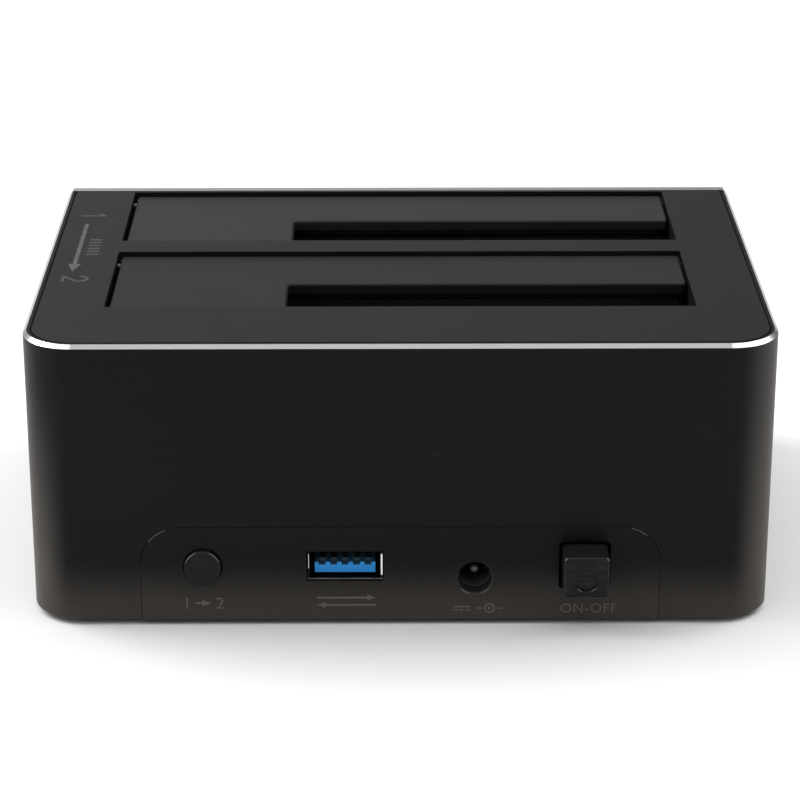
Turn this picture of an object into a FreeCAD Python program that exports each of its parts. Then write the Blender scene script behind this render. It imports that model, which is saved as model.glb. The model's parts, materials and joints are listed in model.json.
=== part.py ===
import FreeCAD, Part

import math
import os
import re

import Sketcher

# A two-bay drive duplicator: an aluminium wrap and front plate round a moulded top with two flapped drive
# bays, a bay frame, a hanging main board with its connectors, and a base plate on rubber feet.
# Frame: X to the right seen from the port side, Y from the port side to the front plate, Z up.
# Pieces are drawn with Y = 0 on the port face and Z = 0 on the wrap's lower edge, then set on the origin,
# which lies under the middle of the whole product, on the surface that it stands on.

# ---------------------------------------------------------------- driving dimensions, millimetres
SIZES = {
    # housing
    "shell_height": 51.4,
    "shell_wall": 1.2,
    "corner_radius": 9.0,
    "rim_chamfer": 0.65,
    "edge_break": 0.3,
    "side_margin": 13.0,
    "frame_play": 0.1,
    "plate_thick": 2.2,
    "top_thick": 2.0,
    "top_gap": 0.33,
    "base_thick": 2.0,
    "base_gap": 0.3,
    "foot_drop": 1.0,
    "foot_seat": 0.6,
    "foot_radius": 5.0,
    "foot_inset_x": 15.8,
    "foot_inset_y": 12.5,
    "foot_play": 0.2,
    "post_inset_x": 5.2,
    "post_inset_y": 9.6,
    "post_radius": 3.2,
    "pilot_radius": 1.25,
    "pilot_depth": 10.0,
    "lug_inset_x": 25.8,
    "lug_width": 8.0,
    "lug_depth": 6.0,
    "lug_height": 7.0,
    "tab_thick": 2.0,
    "tab_width": 5.0,
    "tab_reach": 3.0,
    "tab_inset": 1.0,
    "rib_reach": 6.0,
    "rib_thick": 1.6,
    "vent_margin": 9.0,
    "vent_width": 2.0,
    "vent_length": 14.0,
    "vent_near_y": 26.0,
    "vent_row_gap": 10.0,
    "vent_count": 12,
    # bays and their frame
    "bay_width": 104.0,
    "bay_depth": 30.2,
    "bay_near": 19.4,
    "bay_pitch": 36.7,
    "well_wall": 1.6,
    "far_wall": 0.9,
    "skirt_depth": 7.4,
    "floor_level": 19.5,
    "floor_thick": 1.8,
    "web_floor": 3.3,
    "guide_proud": 0.5,
    "guide_width": 1.5,
    "guide_drop": 4.0,
    "guide_inset": 6.0,
    "guide_pitch": 19.0,
    "window_play": 0.3,
    "ear_reach": 6.0,
    "ear_half": 3.4,
    "ear_thick": 2.0,
    "ear_drop": 11.4,
    "ear_hole_in": 3.2,
    "ear_inset_y": 8.6,
    "boss_radius": 2.5,
    "small_pilot": 1.0,
    # flaps
    "slot_span": 72.1,
    "slot_depth": 14.2,
    "flap_thick": 1.9,
    "flap_sink": 0.75,
    "flap_left_gap": 0.6,
    "flap_right_gap": 0.25,
    "flap_near_gap": 0.4,
    "flap_far_gap": 0.3,
    "flap_round": 0.5,
    "flap_corner": 0.6,
    "axis_inset": 1.95,
    "axis_below_top": 1.5,
    "pin_radius": 0.6,
    "pin_play": 0.05,
    "pin_seat_play": 0.02,
    "pin_end_play": 0.1,
    "barrel_radius": 1.4,
    "barrel_length": 6.5,
    "spring_room": 4.5,
    "spring_skin": 0.4,
    "coil_radius": 0.85,
    "wire_radius": 0.15,
    "coil_turns": 2.25,
    "coil_length": 1.2,
    "leg_down": 7.0,
    "leg_out": 8.0,
    "groove_width": 0.8,
    "pocket_near": 1.25,
    "pocket_over": 0.2,
    "rest_gap": 0.05,
    "rest_low": 0.6,
    "rest_below_axis": 1.6,
    "ledge_reach": 0.75,
    "ledge_height": 0.9,
    "ledge_inner": 12.0,
    "ledge_inset": 14.0,
    "flap_rib": 1.0,
    "flap_rib_width": 1.2,
    "flap_rib_lip": 0.8,
    "flap_rib_end": 2.0,
    "flap_rib_back": 3.0,
    # board
    "board_bottom": 14.0,
    "board_thick": 1.6,
    "board_play": 0.9,
    "board_near": 6.4,
    "board_far_inset": 2.3,
    "board_corner": 1.5,
    "board_hole_inset": 4.0,
    "chip_lift": 0.1,
    "lead_pitch": 1.3,
    "lead_width": 0.5,
    "lead_thick": 0.4,
    "lead_reach": 0.8,
    "lead_root": 0.2,
    # drive sockets
    "socket_x": 20.7,
    "socket_in": 4.0,
    "socket_length": 42.0,
    "socket_width": 6.8,
    "socket_height": 8.4,
    "socket_slot": 1.5,
    "signal_slot": 11.0,
    "power_slot": 21.4,
    "slot_sink": 5.6,
    "slot_wall": 2.4,
    "key_width": 1.3,
    "key_depth": 1.2,
    "socket_corner": 0.8,
    "contact_pitch": 1.27,
    "contact_width": 0.6,
    "contact_thick": 0.25,
    "contact_inset": 0.9,
    # port panel
    "io_left": -45.5,
    "io_right": 45.3,
    "io_top": 17.8,
    "io_corner": 7.0,
    "io_seam": 0.12,
    "io_lip": 1.5,
    "io_flange": 1.6,
    "hole_break": 0.15,
    # copy button
    "copy_x": -34.6,
    "copy_z": 10.2,
    "copy_radius": 3.2,
    "copy_hole": 3.45,
    "copy_proud": 0.85,
    "copy_behind": 0.6,
    "copy_flange": 0.55,
    "copy_flange_thick": 1.0,
    "copy_stem": 1.5,
    "tact_width": 6.2,
    "tact_height": 7.0,
    "tact_depth": 4.0,
    "plunger_radius": 1.6,
    "plunger_play": 0.1,
    "plunger_out": 1.6,
    "plunger_in": 2.0,
    # data port
    "data_x": -9.78,
    "data_z": 10.35,
    "data_width": 13.1,
    "data_height": 5.7,
    "data_sheet": 0.3,
    "data_depth": 16.0,
    "data_front": 0.4,
    "data_play": 0.2,
    "data_corner": 0.5,
    "shield_leg": 2.2,
    "shield_leg_near": 1.0,
    "shield_leg_pitch": 5.4,
    "shield_leg_lap": 0.6,
    "tongue_width": 10.6,
    "tongue_thick": 1.95,
    "tongue_front": 1.6,
    "tongue_block": 4.5,
    "tongue_inset": 0.1,
    "tongue_pitch": 2.0,
    "notch_width": 1.2,
    "notch_height": 0.5,
    "notch_depth": 1.5,
    "notch_count": 5,
    "strip_width": 0.8,
    "strip_start": 1.6,
    "strip_thick": 0.15,
    # power inlet
    "jack_x": 12.9,
    "jack_z": 8.0,
    "jack_play": 0.2,
    "jack_hole": 3.0,
    "jack_bore": 2.95,
    "jack_depth": 9.5,
    "jack_width": 9.0,
    "jack_back": 2.0,
    "jack_below": 4.4,
    "jack_pin": 1.0,
    "jack_pin_front": 3.4,
    "jack_pin_round": 0.7,
    "leaf_width": 2.0,
    "leaf_length": 6.0,
    "leaf_thick": 0.25,
    # power button
    "power_x": 32.05,
    "power_z": 10.33,
    "power_window": 9.0,
    "power_width": 7.9,
    "power_height": 7.8,
    "power_proud": 5.5,
    "power_behind": 3.3,
    "power_corner": 0.8,
    "power_round": 0.45,
    "dish_radius": 2.0,
    "dish_depth": 0.35,
    "dish_drop": 0.45,
    "stem_width": 3.0,
    "stem_play": 0.1,
    "stem_front": 0.8,
    "stem_in": 3.0,
    "switch_front": 9.0,
    "switch_depth": 8.5,
    "switch_width": 8.4,
    "switch_below": 3.9,
    "switch_play": 0.15,
    "switch_spare": 0.5,
    "power_travel": 2.5,
    # status lights
    "led_pitch": 6.0,
    "led_z": 11.4,
    "led_radius": 1.0,
    "led_play": 0.05,
    "led_count": 6,
    "led_width": 1.6,
    "led_depth": 1.2,
    "led_height": 0.8,
    "pipe_thick": 3.0,
    "pipe_margin": 2.0,
    "pipe_far_inset": 1.2,
    "pipe_root": 1.0,
    "pipe_play": 0.1,
    # parts on the board
    "crystal_x": 13.1,
    "crystal_y": 48.0,
    "crystal_length": 10.2,
    "crystal_width": 4.0,
    "crystal_height": 3.2,
    "coil_left_x": 2.0,
    "coil_right_x": 30.0,
    "coil_y": 68.0,
    "coil_width": 8.0,
    "coil_height": 3.4,
    "coil_drum": 3.2,
    "drum_proud": 0.8,
    "can_y": 12.0,
    "can_radius": 3.15,
    "can_height": 9.0,
    # screws
    "screw_radius": 1.2,
    "screw_hole": 1.6,
    "screw_length": 5.5,
    "head_radius": 2.6,
    "head_height": 1.0,
    "head_room": 0.3,
    "head_sink": 0.1,
    "small_screw": 0.95,
    "small_head": 1.9,
    "small_head_height": 1.3,
    "small_hole": 1.2,
    "frame_screw_length": 6.0,
    "board_screw_length": 4.5,
}

# Sizes that follow from the driving ones, as expressions.
DERIVED = {
    "shell_width": "bay_width + 2 * side_margin",
    "shell_depth": "bay_near + bay_pitch + bay_depth + far_wall + frame_play + plate_thick",
    "origin_y": "(shell_depth - power_proud) / 2",
    "wrap_depth": "shell_depth - plate_thick",
    "inner_x": "shell_width / 2 - shell_wall",
    "top_under": "shell_height - top_thick",
    "skirt_foot": "shell_height - top_thick - skirt_depth",
    "bay_x": "bay_width / 2",
    "bay_far": "bay_near + bay_depth",
    "floor_under": "floor_level - floor_thick",
    "guide_top": "skirt_foot - guide_drop",
    "ear_level": "top_under - ear_drop",
    "ear_hole_x": "bay_x + well_wall + ear_hole_in",
    "ear_near_y": "bay_near + ear_inset_y",
    "ear_far_y": "bay_near + bay_pitch + ear_inset_y",
    "board_top": "board_bottom + board_thick",
    "board_far": "wrap_depth - board_far_inset",
    "board_width": "2 * (post_x - post_radius - board_play)",
    "board_hole_x": "bay_x - board_hole_inset",
    "board_hole_near": "bay_near + board_hole_inset",
    "board_hole_far": "bay_far + bay_pitch - board_hole_inset",
    "post_x": "inner_x - post_inset_x",
    "foot_x": "inner_x - foot_inset_x",
    "lug_x": "inner_x - lug_inset_x",
    "vent_span": "2 * (foot_x - foot_radius - vent_margin)",
    "vent_far_y": "vent_near_y + vent_length + vent_row_gap",
    "post_near_y": "post_inset_y",
    "post_far_y": "wrap_depth - post_inset_y",
    "foot_near_y": "foot_inset_y",
    "foot_far_y": "wrap_depth - foot_inset_y",
    "io_back": "shell_wall + io_flange",
    "flap_left": "-bay_x + flap_left_gap",
    "flap_right": "bay_x - flap_right_gap",
    "flap_far": "axis_inset - flap_far_gap",
    "flap_near": "-(bay_depth - axis_inset - flap_near_gap)",
    "flap_slot_x": "bay_x - slot_span",
    "flap_slot_y": "-(bay_depth - axis_inset - slot_depth)",
    "flap_under": "axis_below_top - flap_thick",
    "axis_z": "shell_height - flap_sink - axis_below_top",
    "spring_x": "flap_left + barrel_length",
    "lug_y": "wrap_depth - lug_depth / 2",
    "jack_front": "io_back + jack_play",
    "jack_floor": "jack_front + jack_depth",
    "tact_front": "switch_front",
    "stem_half": "stem_width / 2 + switch_play",
    "slots_left": "socket_x - (signal_slot + power_slot + slot_wall) / 2",
    "leaf_z": "jack_z - jack_bore + leaf_thick",
    "pipe_half": "led_pitch * (led_count - 1) / 2 + pipe_margin",
    "bar_far": "wrap_depth - pipe_far_inset",
}

BAYS = {"bay_1": 1, "bay_2": 0}  # how many pitches each bay lies behind the nearest one
# Each chip's label, centre on the board, size across, thickness, leads on a side and sides with leads.
CHIPS = [
    ("bridge_chip", "0", "board_near + 31.6", "9", "1.2", 6, 4),
    ("copy_chip", "-26", "board_near + 51.6", "12", "1.4", 8, 4),
    ("memory_chip", "-26", "board_near + 31.6", "5", "1.2", 4, 2),
    ("power_chip", "40", "board_near + 45.6", "5", "1.2", 3, 2),
]
CAN_CENTRES = ("-30", "0", "8.5", "44")  # the capacitors' places across, over the connectors
LEG_ROOT = 0.03  # how far a spring leg starts inside the end of its coil


def named(text):
    """Writes an expression out in the sheet's own cells."""

    def swap(match):
        word = match.group(0)
        if word in SIZES:
            return "Dims." + word
        return "(" + named(DERIVED[word]) + ")" if word in DERIVED else word

    return re.sub(r"[a-z][a-z_0-9]*", swap, str(text))


doc = FreeCAD.newDocument("drive_duplicator")
dims = doc.addObject("Spreadsheet::Sheet", "Dims")
for row, (alias, value) in enumerate(SIZES.items(), start=1):
    dims.set(f"A{row}", alias)
    dims.set(f"B{row}", str(value))
    dims.setAlias(f"B{row}", alias)
doc.recompute()


def num(text):
    """The value of an expression, as a plain number."""
    return float(dims.evalExpression(named(text)))


nodes = []


def keep(item, label, y="0", z="0"):
    """Makes a finished object a sub-part: its label, and its place in the product's own frame."""
    item.Label = label
    item.setExpression("Placement.Base.y", named(f"{y} - origin_y"))
    item.setExpression("Placement.Base.z", named(f"{z} + foot_drop"))
    nodes.append(item)
    return item


# ---------------------------------------------------------------- sketches
def sketch(body, name, role, at):
    """A sketch on one of the body's origin planes, moved to a coordinate along that plane's axis."""
    made = body.newObject("Sketcher::SketchObject", name)
    plane = next(f for f in body.Origin.OriginFeatures if f.Role == role)
    made.AttachmentSupport = [(plane, "")]
    made.MapMode = "FlatFace"
    sign = "-" if role == "XZ_Plane" else ""
    made.setExpression("AttachmentOffset.Base.z", named(f"{sign}({at})"))
    return made


def hold(made, kind, geometry, point, text):
    """Ties one point's distance from the sketch origin to an expression."""
    index = made.addConstraint(Sketcher.Constraint(kind, -1, 1, geometry, point, num(text)))
    made.setExpression(f"Constraints[{index}]", named(text))


def outline(made, points):
    """A closed outline of level and upright lines, whose corners (x, y, radius) may be rounded."""
    corners = [(p[0], p[1], p[2] if len(p) > 2 else None) for p in points]
    place = [FreeCAD.Vector(num(x), num(y), 0) for x, y, _ in corners]
    round_by = [num(r) if r else 0.0 for _, _, r in corners]
    count = len(corners)

    def toward(i, j):
        step = place[j].sub(place[i])
        step.normalize()
        return place[i].add(step.multiply(round_by[i]))

    lines = []
    for i in range(count):
        j = (i + 1) % count
        line = made.addGeometry(Part.LineSegment(toward(i, j), toward(j, i)), False)
        level = abs(place[i].y - place[j].y) < abs(place[i].x - place[j].x)
        made.addConstraint(Sketcher.Constraint("Horizontal" if level else "Vertical", line))
        if level:
            hold(made, "DistanceY", line, 1, corners[i][1])
        else:
            hold(made, "DistanceX", line, 1, corners[i][0])
        lines.append(line)
    for i in range(count):
        before, after = lines[i - 1], lines[i]
        if not corners[i][2]:
            made.addConstraint(Sketcher.Constraint("Coincident", before, 2, after, 1))
            continue
        start, end = toward(i, i - 1), toward(i, (i + 1) % count)
        centre = start.add(end).sub(place[i])
        from_angle = math.atan2(start.y - centre.y, start.x - centre.x)
        to_angle = math.atan2(end.y - centre.y, end.x - centre.x)
        first = 1 if (to_angle - from_angle) % (2 * math.pi) < math.pi else 2
        if first == 2:
            from_angle, to_angle = to_angle, from_angle
        circle = Part.Circle(centre, FreeCAD.Vector(0, 0, 1), round_by[i])
        bend = made.addGeometry(Part.ArcOfCircle(circle, from_angle, to_angle), False)
        made.addConstraint(Sketcher.Constraint("Tangent", before, 2, bend, first))
        made.addConstraint(Sketcher.Constraint("Tangent", after, 1, bend, 3 - first))
        size = made.addConstraint(Sketcher.Constraint("Radius", bend, round_by[i]))
        made.setExpression(f"Constraints[{size}]", named(corners[i][2]))


def rectangle(made, x0, y0, x1, y1, radius=None):
    outline(made, [(x0, y0, radius), (x1, y0, radius), (x1, y1, radius), (x0, y1, radius)])


def ring(made, x, y, radius):
    """A circle whose centre and radius follow expressions."""
    circle = Part.Circle(FreeCAD.Vector(num(x), num(y), 0), FreeCAD.Vector(0, 0, 1), num(radius))
    index = made.addGeometry(circle, False)
    hold(made, "DistanceX", index, 3, x)
    hold(made, "DistanceY", index, 3, y)
    size = made.addConstraint(Sketcher.Constraint("Radius", index, num(radius)))
    made.setExpression(f"Constraints[{size}]", named(radius))


# ---------------------------------------------------------------- features
def new_body(name):
    return doc.addObject("PartDesign::Body", name)


def extrude(body, name, role, at, length, draw, cut=False):
    """Pads or pockets a sketch from a coordinate towards the positive side of the plane's axis."""
    before = body.Shape.Volume if cut else 0.0
    made = sketch(body, name + "_sketch", role, at)
    draw(made)
    doc.recompute()
    feature = body.newObject("PartDesign::Pocket" if cut else "PartDesign::Pad", name)
    feature.Profile = made
    feature.setExpression("Length", named(length))
    feature.Reversed = (role == "XZ_Plane") != cut
    doc.recompute()
    if cut and body.Shape.Volume > before - 1e-6:
        raise RuntimeError(f"{name} cuts nothing")
    return feature


def dress(body, kind, name, edges, size):
    """Fillets or chamfers the edges of the body's tip that a test picks."""
    tip = body.Tip
    picked = [f"Edge{i}" for i, e in enumerate(tip.Shape.Edges, start=1) if edges(e)]
    if not picked:
        raise RuntimeError(f"{name} finds no edge")
    feature = body.newObject("PartDesign::" + kind, name)
    feature.Base = (tip, picked)
    feature.setExpression("Radius" if kind == "Fillet" else "Size", named(size))
    doc.recompute()
    return feature


def level_edge(edge, z):
    return abs(edge.BoundBox.ZMin - z) < 1e-4 and abs(edge.BoundBox.ZMax - z) < 1e-4


def flat_edge(edge, y):
    return abs(edge.BoundBox.YMin - y) < 1e-4 and abs(edge.BoundBox.YMax - y) < 1e-4


def box(name, x, y, z, length, width, height):
    """A Part box from its lowest corner and its three sides."""
    made = doc.addObject("Part::Box", name)
    for prop, text in zip(("Length", "Width", "Height"), (length, width, height)):
        made.setExpression(prop, named(text))
    for axis, text in zip("xyz", (x, y, z)):
        made.setExpression("Placement.Base." + axis, named(text))
    return made


TURN = {
    "x": FreeCAD.Rotation(FreeCAD.Vector(0, 1, 0), 90),
    "y": FreeCAD.Rotation(FreeCAD.Vector(1, 0, 0), -90),
    "z": FreeCAD.Rotation(),
}


def rod(name, axis, x, y, z, radius, length):
    """A Part cylinder from one end's centre, along the positive side of an axis."""
    made = doc.addObject("Part::Cylinder", name)
    made.Placement = FreeCAD.Placement(FreeCAD.Vector(), TURN[axis])
    made.setExpression("Radius", named(radius))
    made.setExpression("Height", named(length))
    for letter, text in zip("xyz", (x, y, z)):
        made.setExpression("Placement.Base." + letter, named(text))
    return made


def cut(name, base, tool):
    made = doc.addObject("Part::Cut", name)
    made.Base = base
    made.Tool = tool
    return made


def fuse(name, pieces):
    made = doc.addObject("Part::MultiFuse", name)
    made.Shapes = pieces
    return made


def group(name, pieces):
    """Several separate solids in one node."""
    made = doc.addObject("Part::Compound", name)
    made.Links = pieces
    return made


# ---------------------------------------------------------------- housing
def make_shell():
    """The aluminium wrap: a near wall and two side walls, with a chamfered rim and a notch for the ports."""
    body = new_body("Shell")

    def wrap(made):
        outline(made, [
            ("-shell_width / 2", "wrap_depth"),
            ("-shell_width / 2", "0", "corner_radius"),
            ("shell_width / 2", "0", "corner_radius"),
            ("shell_width / 2", "wrap_depth"),
            ("inner_x", "wrap_depth"),
            ("inner_x", "shell_wall", "corner_radius - shell_wall"),
            ("-inner_x", "shell_wall", "corner_radius - shell_wall"),
            ("-inner_x", "wrap_depth"),
        ])

    def notch(made):
        outline(made, [
            ("io_left", "-shell_wall"),
            ("io_right", "-shell_wall"),
            ("io_right", "io_top", "io_corner"),
            ("io_left", "io_top", "io_corner"),
        ])

    extrude(body, "wrap", "XY_Plane", "0", "shell_height", wrap)
    extrude(body, "port_notch", "XZ_Plane", "-shell_wall", "shell_wall * 3", notch, cut=True)
    half, radius = num("shell_width / 2"), num("corner_radius")

    def outer(edge):
        if edge.Curve.TypeId == "Part::GeomCircle":
            return abs(edge.Curve.Radius - radius) < 1e-4
        bounds = edge.BoundBox
        side = abs(abs(bounds.XMin) - half) < 1e-4 and bounds.XLength < 1e-4
        return side or (abs(bounds.YMin) < 1e-4 and bounds.YLength < 1e-4)

    height = num("shell_height")
    dress(body, "Chamfer", "rim", lambda e: level_edge(e, height) and outer(e), "rim_chamfer")
    dress(body, "Chamfer", "hem", lambda e: level_edge(e, 0) and outer(e), "edge_break")
    return keep(body, "shell")


def make_front_plate():
    """The flat plate over the far side, with light holes, two screw lugs and two tabs under the top."""
    body = new_body("FrontPlate")
    extrude(body, "plate", "XZ_Plane", "wrap_depth", "plate_thick", lambda s: rectangle(
        s, "-shell_width / 2", "0", "shell_width / 2", "shell_height"))
    far, half, height = num("shell_depth"), num("shell_width / 2"), num("shell_height")

    def top_corner(edge):
        bounds = edge.BoundBox
        return bounds.YLength > 1 and abs(abs(bounds.XMin) - half) < 1e-4 and level_edge(edge, height)

    dress(body, "Chamfer", "top_corners", top_corner, "rim_chamfer")
    dress(body, "Chamfer", "plate_break", lambda e: flat_edge(e, far), "edge_break")

    def lugs(made):
        for sign in ("-", ""):
            rectangle(made, f"{sign}lug_x - lug_width / 2", "wrap_depth - lug_depth",
                      f"{sign}lug_x + lug_width / 2", "wrap_depth")

    def tabs(made):
        outer, inner = "inner_x - tab_inset", "inner_x - tab_inset - tab_width"
        rectangle(made, f"-({outer})", "wrap_depth - tab_reach", f"-({inner})", "wrap_depth")
        rectangle(made, inner, "wrap_depth - tab_reach", outer, "wrap_depth")

    def pilots(made):
        for sign in ("-", ""):
            ring(made, f"{sign}lug_x", "lug_y", "pilot_radius")

    extrude(body, "lugs", "XY_Plane", "base_thick", "lug_height", lugs)
    extrude(body, "tabs", "XY_Plane", "top_under - tab_thick", "tab_thick", tabs)
    extrude(body, "lug_pilots", "XY_Plane", "base_thick", "lug_height - 1", pilots, cut=True)
    first = extrude(body, "light_hole", "XZ_Plane", "wrap_depth - 1", "plate_thick + 2", lambda s: ring(
        s, "-led_pitch * (led_count - 1) / 2", "led_z", "led_radius + led_play"), cut=True)
    row = body.newObject("PartDesign::LinearPattern", "light_holes")
    row.Originals = [first]
    row.Direction = (first.Profile[0], ["H_Axis"])
    row.setExpression("Length", named("led_pitch * (led_count - 1)"))
    row.setExpression("Occurrences", named("led_count"))
    body.Tip = row
    doc.recompute()
    return keep(body, "front_plate")


def make_top_panel():
    """The moulded top: plate, a skirt round each bay mouth, hinge bores, flap ledges and screw posts."""
    body = new_body("TopPanel")
    extrude(body, "plate", "XY_Plane", "top_under", "top_thick", lambda s: outline(s, [
        ("-inner_x + top_gap", "wrap_depth - frame_play"),
        ("-inner_x + top_gap", "shell_wall + top_gap", "corner_radius - shell_wall - top_gap"),
        ("inner_x - top_gap", "shell_wall + top_gap", "corner_radius - shell_wall - top_gap"),
        ("inner_x - top_gap", "wrap_depth - frame_play"),
    ]))

    def skirts(made):
        for pitches in BAYS.values():
            y = f"bay_near + {pitches} * bay_pitch"
            rectangle(made, "-bay_x - well_wall", f"{y} - well_wall",
                      "bay_x + well_wall", f"{y} + bay_depth + far_wall")

    def mouths(made):
        for pitches in BAYS.values():
            y = f"bay_near + {pitches} * bay_pitch"
            rectangle(made, "-bay_x", y, "bay_x", f"{y} + bay_depth", "edge_break")

    def ledges(made):
        for pitches in BAYS.values():
            y = f"bay_far + {pitches} * bay_pitch"
            outer = "bay_x - ledge_inset"
            rectangle(made, f"-({outer})", f"{y} - ledge_reach", "-ledge_inner", y)
            rectangle(made, "ledge_inner", f"{y} - ledge_reach", outer, y)

    def spring_rests(made):
        for pitches in BAYS.values():
            y = f"bay_far + {pitches} * bay_pitch"
            rectangle(made, "spring_x", f"{y} - ledge_reach + rest_gap", "spring_x + spring_room", y)

    def four(made, x, place, radius):
        for sign in ("-", ""):
            for end in ("near", "far"):
                ring(made, f"{sign}{x}", f"{place}_{end}_y", radius)

    def ribs(made):
        for pitches in (0, 0.5, 1):
            y = f"bay_near + {pitches} * bay_pitch"
            rectangle(made, "-inner_x", y, "-inner_x + rib_thick", f"{y} + rib_reach")
            rectangle(made, "inner_x - rib_thick", y, "inner_x", f"{y} + rib_reach")
        for sign in ("-", ""):
            rectangle(made, f"{sign}lug_x - rib_reach / 2", "shell_wall",
                      f"{sign}lug_x + rib_reach / 2", "shell_wall + rib_thick")

    def hinges(made):
        for pitches in BAYS.values():
            ring(made, f"bay_far + {pitches} * bay_pitch - axis_inset", "axis_z",
                 "pin_radius + pin_seat_play")

    extrude(body, "skirts", "XY_Plane", "skirt_foot", "skirt_depth + top_thick / 2", skirts)
    extrude(body, "mouths", "XY_Plane", "skirt_foot - 1", "skirt_depth + top_thick + 2", mouths, cut=True)
    extrude(body, "ledges", "XY_Plane", "axis_z + flap_under - ledge_height", "ledge_height", ledges)
    extrude(body, "spring_rests", "XY_Plane", "axis_z - leg_down + rest_low",
            "leg_down - rest_low - rest_below_axis", spring_rests)
    extrude(body, "posts", "XY_Plane", "base_thick", "top_under - base_thick + top_thick / 2",
            lambda s: four(s, "post_x", "post", "post_radius"))
    extrude(body, "bosses", "XY_Plane", "ear_level", "top_under - ear_level + top_thick / 2",
            lambda s: four(s, "ear_hole_x", "ear", "boss_radius"))
    extrude(body, "ribs", "XY_Plane", "top_under - rib_reach", "rib_reach", ribs)
    extrude(body, "post_pilots", "XY_Plane", "base_thick", "pilot_depth",
            lambda s: four(s, "post_x", "post", "pilot_radius"), cut=True)
    extrude(body, "boss_pilots", "XY_Plane", "ear_level", "rib_reach",
            lambda s: four(s, "ear_hole_x", "ear", "small_pilot"), cut=True)
    for side, at in (("left", "-bay_x - 2 * well_wall"), ("right", "bay_x - well_wall")):
        extrude(body, f"{side}_hinges", "YZ_Plane", at, "3 * well_wall", hinges, cut=True)
    return keep(body, "top_panel")


def make_bay_frame():
    """The inner frame: two drive wells with socket windows, side ears and board bosses below."""
    body = new_body("BayFrame")
    extrude(body, "block", "XY_Plane", "floor_under", "skirt_foot - floor_under", lambda s: rectangle(
        s, "-bay_x - well_wall", "bay_near - well_wall",
        "bay_x + well_wall", "bay_far + bay_pitch + far_wall"))

    def wells(made):
        for pitches in BAYS.values():
            y = f"bay_near + {pitches} * bay_pitch"
            rectangle(made, "-bay_x", y, "bay_x", f"{y} + bay_depth")

    def windows(made):
        for pitches in BAYS.values():
            y = f"bay_near + {pitches} * bay_pitch + socket_in"
            rectangle(made, "socket_x - socket_length / 2 - window_play",
                      f"{y} - socket_width / 2 - window_play",
                      "socket_x + socket_length / 2 + window_play",
                      f"{y} + socket_width / 2 + window_play")

    def guides(made):
        for pitches in BAYS.values():
            y = f"bay_near + {pitches} * bay_pitch"
            left = "-bay_x + guide_inset"
            for x in (left, f"{left} + guide_pitch", f"{left} + 2 * guide_pitch", "bay_x - guide_inset"):
                rectangle(made, f"{x} - guide_width / 2", y, f"{x} + guide_width / 2",
                          f"{y} + guide_proud")

    def ears(made):
        for y in ("ear_near_y", "ear_far_y"):
            rectangle(made, "-bay_x - well_wall - ear_reach", f"{y} - ear_half",
                      "-bay_x - well_wall", f"{y} + ear_half")
            rectangle(made, "bay_x + well_wall", f"{y} - ear_half",
                      "bay_x + well_wall + ear_reach", f"{y} + ear_half")

    def ear_holes(made):
        for x in ("-ear_hole_x", "ear_hole_x"):
            ring(made, x, "ear_near_y", "small_hole")
            ring(made, x, "ear_far_y", "small_hole")

    def bosses(made, radius="boss_radius"):
        for sign in ("-", ""):
            for y in ("board_hole_near", "board_hole_far"):
                ring(made, f"{sign}board_hole_x", y, radius)

    extrude(body, "wells", "XY_Plane", "floor_level", "skirt_foot - floor_level + 1", wells, cut=True)
    extrude(body, "web_hollow", "XY_Plane", "floor_under + web_floor", "skirt_foot - floor_under",
            lambda s: rectangle(s, "-bay_x", "bay_far + far_wall",
                                "bay_x", "bay_near + bay_pitch - well_wall"), cut=True)
    extrude(body, "socket_windows", "XY_Plane", "floor_under - 1", "floor_thick + 2", windows, cut=True)
    extrude(body, "guides", "XY_Plane", "floor_level", "guide_top - floor_level", guides)
    extrude(body, "ears", "XY_Plane", "ear_level - ear_thick", "ear_thick", ears)
    extrude(body, "ear_holes", "XY_Plane", "ear_level - ear_thick - 1", "ear_thick + 2", ear_holes, cut=True)
    extrude(body, "board_bosses", "XY_Plane", "board_top", "floor_under - board_top", bosses)
    extrude(body, "board_pilots", "XY_Plane", "board_top", "floor_under - board_top + floor_thick * 2 / 3",
            lambda s: bosses(s, "small_pilot"), cut=True)
    return keep(body, "bay_frame")


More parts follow.
